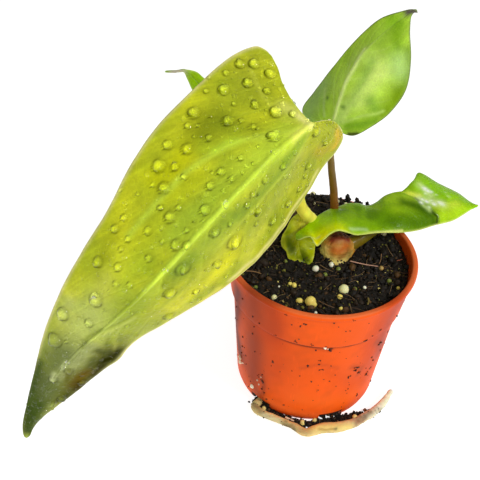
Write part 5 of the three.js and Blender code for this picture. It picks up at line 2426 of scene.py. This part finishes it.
UPRIGHT_LEAF = Blade(
    node="upright_leaf_blade", finish=UPRIGHT_FINISH, slot="green_leaf", face=(0.3, -0.9, -0.3),
    midrib=(
        (-0.5, 10, 94.5), (0.5, 11.5, 100.5), (2, 13, 107), (6.5, 16, 114), (13.5, 19, 120.5),
        (18.5, 21, 124), (19.5, 21, 123.5),
    ),
    left=(
        (-0.5, 10, 94.5), (-3, 13, 90), (-7, 17, 89.5), (-9, 19, 93), (-6, 21, 98),
        (-2, 22, 104.5), (4, 22, 114), (9.5, 21, 121), (15, 21, 123.5), (18.5, 21, 124.2),
        (19.5, 21, 123.5),
    ),
    right=(
        (-0.5, 10, 94.5), (1.5, 8, 92.5), (5, 7, 92), (9.5, 7, 95), (14.5, 8, 99.5),
        (18, 10, 105.5), (18.5, 13, 113), (17.5, 17, 120), (18.2, 20.8, 123.4), (19.5, 21, 123.5),
    ),
    lobe=(0.3, 0.2), lobe_rows=0.3, bow=(0.06, 0.1), rows=150, columns=40, thickness=0.5,
    rib=0.4, rib_width=0.45, laterals=6, sweep=0.25, quilt=0.06, vein_share=0.25, margin=0.36,
    strokes=UPRIGHT_STROKES,
)
GLOSSY_LEAF = Blade(
    node="glossy_leaf_blade", finish=GLOSSY_FINISH, slot="glossy_leaf", face=(0.1, -0.5, 0.85),
    midrib=((25.5, 18, 66), (32.5, 17, 64.5), (40, 17, 63.5), (46, 18, 62), (52, 20, 61)),
    inner=(
        (-8.5, -4, 61.5), (-8.5, -1.5, 61.5), (-6, 1.5, 62), (-2.5, 5.5, 63), (1.5, 8.5, 64),
        (4.5, 10.5, 64), (8, 12, 64.5), (11.5, 13, 64), (14.5, 13.5, 63), (17.5, 15, 63.5),
        (20, 16.5, 65), (22.5, 17.5, 65.5), (25.5, 18, 66),
    ),
    left=(
        (-8.5, -4, 61.5), (-7.5, -5, 62.5), (-6, -5, 63.5), (-4.5, -5.5, 64), (-3.5, -6.5, 63),
        (-2.5, -7, 62), (-1, -6, 63), (1, -5, 65), (3.5, -4, 66), (7, -3, 64.5), (9.5, -2, 63),
        (16.5, 1, 62), (25.5, 4, 60.5), (31, 6.5, 60), (35.5, 9, 60), (42.5, 13, 59.5),
        (46.5, 16, 60), (49, 18, 60.5), (52, 20, 61),
    ),
    right=(
        (25.5, 18, 66), (29, 22, 64.5), (31.5, 26, 65), (33, 30, 66), (40, 29, 63),
        (46.5, 26, 61.5), (50.5, 22, 60.5), (52, 20, 61),
    ),
    lobe=(0.55, 0.3), lobe_rows=0.5, bow=(0.12, 0.06), rows=220, columns=64, rib=0.4,
    rib_width=0.5, laterals=9, sweep=0.15, quilt=0.1, vein_share=0.12, margin=0.4,
    strokes=GLOSSY_STROKES,
)
BACK_LEAF = Blade(
    node="back_leaf_blade", finish=BACK_FINISH, slot="green_leaf", face=(-0.3, -0.8, 0.5),
    midrib=(
        (-12, 15, 73), (-20.5, 13, 82.5), (-29, 13, 91), (-36.5, 16, 97.5), (-41.8, 20, 100.6),
        (-44.4, 21.8, 101.9), (-47.5, 23, 101), (-50.6, 24, 100.3),
    ),
    left=(
        (-12, 15, 73), (-14, 16, 69.5), (-20, 17, 71), (-29, 17, 79), (-36, 17.5, 88),
        (-42, 19, 97.4), (-43.8, 20.5, 100.3), (-44.9, 21.9, 101.5), (-47.5, 23, 100.7),
        (-50.6, 24, 100.2),
    ),
    right=(
        (-12, 15, 73), (-9, 17, 76), (-11, 18, 82.5), (-19, 19, 91.5), (-29, 19.5, 98.6),
        (-38.2, 20, 100.5), (-41, 21, 102.2), (-44, 21.8, 102.4), (-47.5, 23, 101.3),
        (-50.6, 24, 100.4),
    ),
    lobe=(0.25, 0.25), lobe_rows=0.25, bow=(0.08, 0.08), rows=130, columns=34, thickness=0.5,
    rib=0.35, rib_width=0.5, laterals=7, sweep=0.2, quilt=0.1, vein_share=0.3, margin=0.4,
    strokes=marks((((164, 71.5), (174, 71.5), (182, 71.5)), 1.8, (206, 194, 172), 0.95)),
)
SMALL_LEAF = Blade(
    node="small_leaf_blade", finish=SMALL_FINISH, slot="yellow_olive_leaf", face=(-0.3, -0.9, 0.3),
    midrib=((-6.5, 5, 66), (-7, 4, 61), (-7.5, 1.5, 56.5), (-6, -2, 53.5), (-3.5, -5, 51.5)),
    left=(
        (-6.5, 5, 66), (-9.5, 4, 64), (-11, 3, 61.5), (-12.5, 1.5, 58), (-12.5, 0, 55.5),
        (-11, -1.5, 54.5), (-10, -3, 53), (-8.5, -3.5, 52.5), (-7.5, -3, 53), (-6.5, -4, 52.5),
        (-5, -4.5, 52), (-3.5, -5, 51.5),
    ),
    right=(
        (-6.5, 5, 66), (-4.5, 5, 61.5), (-2.5, 3, 57.5), (-2, 0.5, 55.5), (-2.5, -2.5, 53.5),
        (-3.5, -5, 51.5),
    ),
    lobe=(0.1, 0.1), lobe_rows=0.12, bow=(0.1, 0.1), wave=(0.5, 4), rows=90, columns=24,
    thickness=0.45, rib=0.25, rib_width=0.4, laterals=6, sweep=0.15, quilt=0.18, vein_share=0.4,
    margin=0.4, strokes=SMALL_STROKES,
)

YELLOW_GREEN = (srgb(250, 238, 100), srgb(244, 234, 70), srgb(204, 208, 44))
PETIOLES = (
    Petiole("big_leaf_petiole", Tube((
        (1.8, 3.8, 56), (0.2, 5, 57.6), (-2.5, 6, 60.6), (-5.5, 4.4, 65), (-8, 1.2, 70.5),
        (-9.5, -3.5, 78.5), (-10.5, -8, 87.5), (-11, -14, 99), (-11.2, -20.5, 108.5),
    ), 2.1, 1.3), YELLOW_GREEN, "petiole"),
    # The glossy leaf's stalk is painted dark olive: painted shade from the glossy blade above it.
    Petiole("glossy_leaf_petiole", Tube((
        (6.5, 3, 53.8), (10, 4.2, 55.1), (13, 5.7, 56.3), (16.5, 7.8, 57.8), (21.5, 11.2, 60),
        (25, 15, 61.7), (27.5, 17.5, 63.8),
    ), 2.6, 1.0), (srgb(134, 106, 24), srgb(104, 104, 8), srgb(90, 98, 8)), "petiole"),
    Petiole("back_leaf_petiole", Tube((
        (2.5, 6.5, 55), (0.5, 8, 56.5), (-3, 8.3, 59.5), (-6, 9.5, 62.5), (-8.5, 12.5, 67),
        (-11.5, 15, 73), (-12, 15.6, 74.5),
    ), 1.5, 0.9), YELLOW_GREEN, "petiole"),
    Petiole("small_leaf_petiole", Tube((
        (1.5, 5, 55.5), (0, 6, 57.5), (-3, 6.3, 61.5), (-5.5, 6.3, 64.5), (-6.5, 5.5, 67),
    ), 1.2, 0.8), (srgb(206, 190, 60), srgb(204, 196, 52), srgb(196, 200, 60)), "petiole"),
)
BROWN_FINISH = StalkFinish("brown_petiole_skin", roughness=0.36, grain=0.7, depth=0.05, coat=0.2)
UPRIGHT_PETIOLE = Petiole("upright_leaf_petiole", Tube((
    (5.4, 6, 55.5), (4.8, 7.4, 57.5), (4, 9.3, 60.5), (3.5, 10, 65), (2.5, 10.3, 71),
    (0.5, 10.3, 80.5), (-0.6, 10.5, 88.5), (-0.4, 11.4, 92.5), (-0.3, 12.3, 96),
), 1.5, 0.9), (
    srgb(136, 66, 34), srgb(128, 76, 24), srgb(112, 84, 22), srgb(122, 102, 40), srgb(140, 140, 60),
), "brown_petiole")

STEM_STROKES = marks(
    (((321, 248), (325, 256), (332, 261), (342, 260)), 2.2, (238, 216, 118), 0.95),
    (((334, 250), (341, 251), (346, 247)), 1.8, (196, 100, 26), 0.9),
    (((340, 258), (345, 255), (348, 250)), 1.0, (150, 92, 34), 0.8),
    (((332, 240), (340, 238), (348, 240)), 1.5, (146, 40, 34), 0.9),
    (((334, 236), (346, 235)), 1.3, (104, 24, 34), 0.95),
    (((353, 240), (350, 254)), 1.4, (112, 92, 26), 0.8),
)

CREAM, PALE, AMBER = srgb(255, 252, 186), srgb(255, 252, 222), srgb(246, 222, 112)
MOSS = srgb(124, 136, 60)
FEED_BEADS = (
    (315.4, 270, 1.0, PALE), (331.2, 265.8, 0.85, PALE), (343.4, 291.6, 1.6, CREAM),
    (339.7, 298, 0.85, AMBER), (294, 286.2, 0.8, AMBER), (290, 284.6, 0.6, AMBER),
    (274, 299.2, 0.95, CREAM), (310.3, 303.7, 1.5, AMBER), (307.4, 302.4, 0.9, AMBER),
    (313.4, 305.6, 0.9, AMBER), (299.4, 302.4, 1.0, AMBER), (364.4, 288.4, 0.55, PALE),
    (381, 269.3, 0.8, srgb(190, 160, 90)), (398, 289, 0.6, AMBER), (255.5, 288.4, 0.7, MOSS),
    (315.4, 313.6, 0.5, PALE), (338.2, 270.6, 0.8, MOSS), (325, 275.7, 0.7, MOSS),
    (340.8, 309.4, 0.6, AMBER), (285.4, 262.3, 0.6, MOSS), (389, 282, 0.7, MOSS),
    (279, 286.9, 0.3, PALE), (354.8, 289.7, 0.6, MOSS),
)
SOIL_STICKS = (
    (((349.4, 263.2), (364, 266.5), (377.8, 268.6)), 0.2, srgb(206, 158, 132)),
    (((396, 263), (402, 261.6), (408, 262)), 0.16, srgb(140, 72, 44)),
    (((246, 273), (255, 274), (264, 277)), 0.18, srgb(150, 112, 72)),
    (((381, 256), (380.4, 261), (379, 266)), 0.13, srgb(160, 120, 80)),
    (((367.6, 300), (368.2, 304), (367, 307)), 0.3, srgb(128, 112, 52)),
    (((318, 303), (326, 307), (334, 310)), 0.14, srgb(120, 90, 60)),
)
POT_CRUMBS = (
    (275.7, 335, 0.8), (296, 341.7, 0.8), (286, 314.6, 0.7), (305, 324, 0.8), (334, 322.7, 0.8),
    (354, 320.5, 0.7), (365, 341, 1.0), (380, 342.5, 1.9), (319.7, 360.8, 0.9), (357, 368, 1.6),
    (370, 368, 0.8), (349, 377, 1.3), (272.8, 361.5, 0.9), (262.5, 381, 1.6), (264, 393, 1.0),
    (284, 405, 0.9), (357, 394.5, 1.0), (415.8, 281.6, 0.9), (308, 366, 0.6), (320, 370, 0.6),
    (331, 366, 0.6), (326, 347, 1.4), (331, 349, 0.8), (312, 345, 0.7), (380, 350, 0.9),
    (388, 331, 0.8), (380, 330, 0.6), (372, 336, 0.6), (366, 368, 1.2), (359, 372, 1.4),
    (366, 374, 0.8), (372, 357, 0.7), (258, 376, 1.1), (262, 388, 0.9), (266, 399, 0.8),
    (300, 326, 0.5), (350, 331, 0.5), (292, 371, 0.5), (336, 386, 0.5), (318, 390, 0.5),
)
POT_GRAINS = (
    (252.4, 386, 1.7, PALE), (325, 347.6, 1.1, PALE), (240.6, 357, 2.0, srgb(238, 206, 170)),
    (240.8, 361.5, 1.6, srgb(244, 220, 190)), (243, 363, 0.6, PALE),
    (257.5, 380, 1.1, srgb(214, 190, 160)), (259, 384, 0.8, srgb(204, 176, 150)),
    (261, 377, 0.7, srgb(214, 190, 160)), (328, 349, 0.5, PALE),
)
POT_STROKES = marks(
    # The first eight strokes darken the pot: painted shade down its left and right sides and across
    # its lower middle.
    (((270, 304), (276, 322), (274, 336)), 4.5, (176, 56, 16), 0.65),
    (((252, 378), (256, 390), (262, 398)), 2.6, (150, 62, 26), 0.7),
    (((252, 296), (254, 320), (254, 344), (254, 372)), 6.0, (138, 50, 20), 0.8),
    (((238, 292), (236, 322), (240, 352)), 4.0, (98, 30, 12), 0.9),
    (((404, 288), (396, 306), (386, 328), (380, 350), (374, 372)), 5.0, (150, 36, 4), 0.75),
    (((262, 330), (280, 350), (276, 372)), 4.0, (214, 74, 16), 0.5),
    (((330, 372), (352, 384), (344, 396)), 3.0, (214, 76, 16), 0.45),
    (((392, 304), (378, 332), (370, 352), (364, 380)), 4.5, (206, 70, 12), 0.7),
    (((262, 376), (264, 386), (263, 394)), 0.9, (122, 52, 24), 0.6),
    (((376, 342), (382, 344)), 1.2, (150, 60, 26), 0.6),
    (((352, 367), (362, 368), (358, 374)), 1.1, (150, 58, 26), 0.5),
    (((318, 348), (330, 349)), 1.0, (150, 58, 26), 0.6),
    (((302, 368), (320, 364), (338, 368)), 0.7, (186, 70, 26), 0.5),
    # Painted light: the pot lighter towards its foot, as if lit from the white floor.
    (((300, 400), (330, 402), (350, 396)), 4.0, (244, 100, 26), 0.6),
    (((268, 400), (288, 410), (306, 415), (330, 414)), 1.6, (250, 108, 40), 0.8),
)
ESCAPED_ROOT = EscapedRoot(
    "escaped_root",
    Tube((
        (-10, -11, 4), (-12.6, -14, 3.4), (-15.5, -17.5, 1.75), (-17.4, -20, 1.7),
        (-15.8, -22.2, 1.7), (-8.8, -25.3, 1.7), (-4.2, -27.4, 1.7), (-0.8, -29.5, 1.7),
        (5, -27.4, 1.7), (11.5, -26.4, 1.7), (16, -24.3, 1.7), (21, -21, 1.7), (25, -17.5, 1.8),
        (28.5, -13, 2.2), (30, -10.5, 2.6),
    ), 1.45, 1.35, 200, 28),
    (srgb(206, 180, 120), srgb(214, 192, 128), srgb(240, 214, 140), srgb(232, 206, 138),
     srgb(226, 204, 150), srgb(240, 232, 196), srgb(250, 248, 236)),
    srgb(104, 84, 58),
    ((254.8, 404.2, 0.6), (263.6, 410.2, 0.75), (302.1, 424.5, 0.9), (314.2, 421.8, 0.75),
     (354.4, 419, 0.85), (373, 413, 0.6)),
    (
        (((255, 402), (264, 407), (278, 415)), 0.6, 420),
        (((272, 412), (288, 419), (304, 424)), 0.4, 260),
        (((274, 414), (284, 419), (296, 424), (308, 424)), 0.5, 360),
        (((292, 423), (305, 425), (320, 422), (333, 421)), 0.45, 640),
        (((331, 421), (342, 420), (352, 418)), 0.8, 520),
        (((352, 418), (366, 415), (377, 409)), 0.8, 360),
    ),
    ((284.5, 419.4), (289, 421.4), (294, 423.4)),
    marks(
        (((255, 405), (262, 413)), 1.0, (120, 100, 70), 0.7),
        (((264, 415), (280, 421)), 1.1, (214, 206, 160), 0.7),
        # Painted shadow: a band of dark grey-brown shade across the root.
        (((284, 425), (294, 430)), 1.3, (84, 66, 46), 0.8),
        (((300, 431), (309, 431)), 1.3, (196, 160, 104), 0.8),
        (((314, 428), (330, 427), (350, 427)), 1.6, (246, 220, 126), 0.9),
        (((319, 429), (326, 430), (333, 429)), 0.4, (178, 134, 60), 0.8),
        (((335.7, 428.9),), 0.5, (40, 26, 16), 0.95),
        (((357, 423), (363, 421)), 1.2, (150, 96, 60), 0.7),
        (((365, 416), (371, 412)), 1.0, (110, 88, 70), 0.7),
        (((383, 402), (388, 393)), 2.2, (250, 246, 206), 0.95),
    ),
)


def main() -> None:
    """Builds the plant from the pot up and reports each piece."""
    logging.basicConfig(level=logging.INFO, format="%(name)s %(message)s")
    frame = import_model()
    Studio().build()
    VIEW.camera()
    pot = NurseryPot().build(POT_STROKES)
    PotDirt(POT_CRUMBS, POT_GRAINS).build(pot)
    PottingSoil().build(FEED_BEADS, SOIL_STICKS, SMALL_LEAF.build())
    StemBase().build(STEM_STROKES)
    stalk = StalkFinish("petiole_skin")
    for petiole in PETIOLES:
        petiole.build(stalk)
    UPRIGHT_PETIOLE.build(BROWN_FINISH)
    for blade in (BIG_LEAF, UPRIGHT_LEAF, GLOSSY_LEAF, BACK_LEAF):
        blade.build()
    ESCAPED_ROOT.build()
    LOG.info("%d nodes of the frame are dressed", len(frame["nodes"]))


if __name__ == "__main__":
    main()
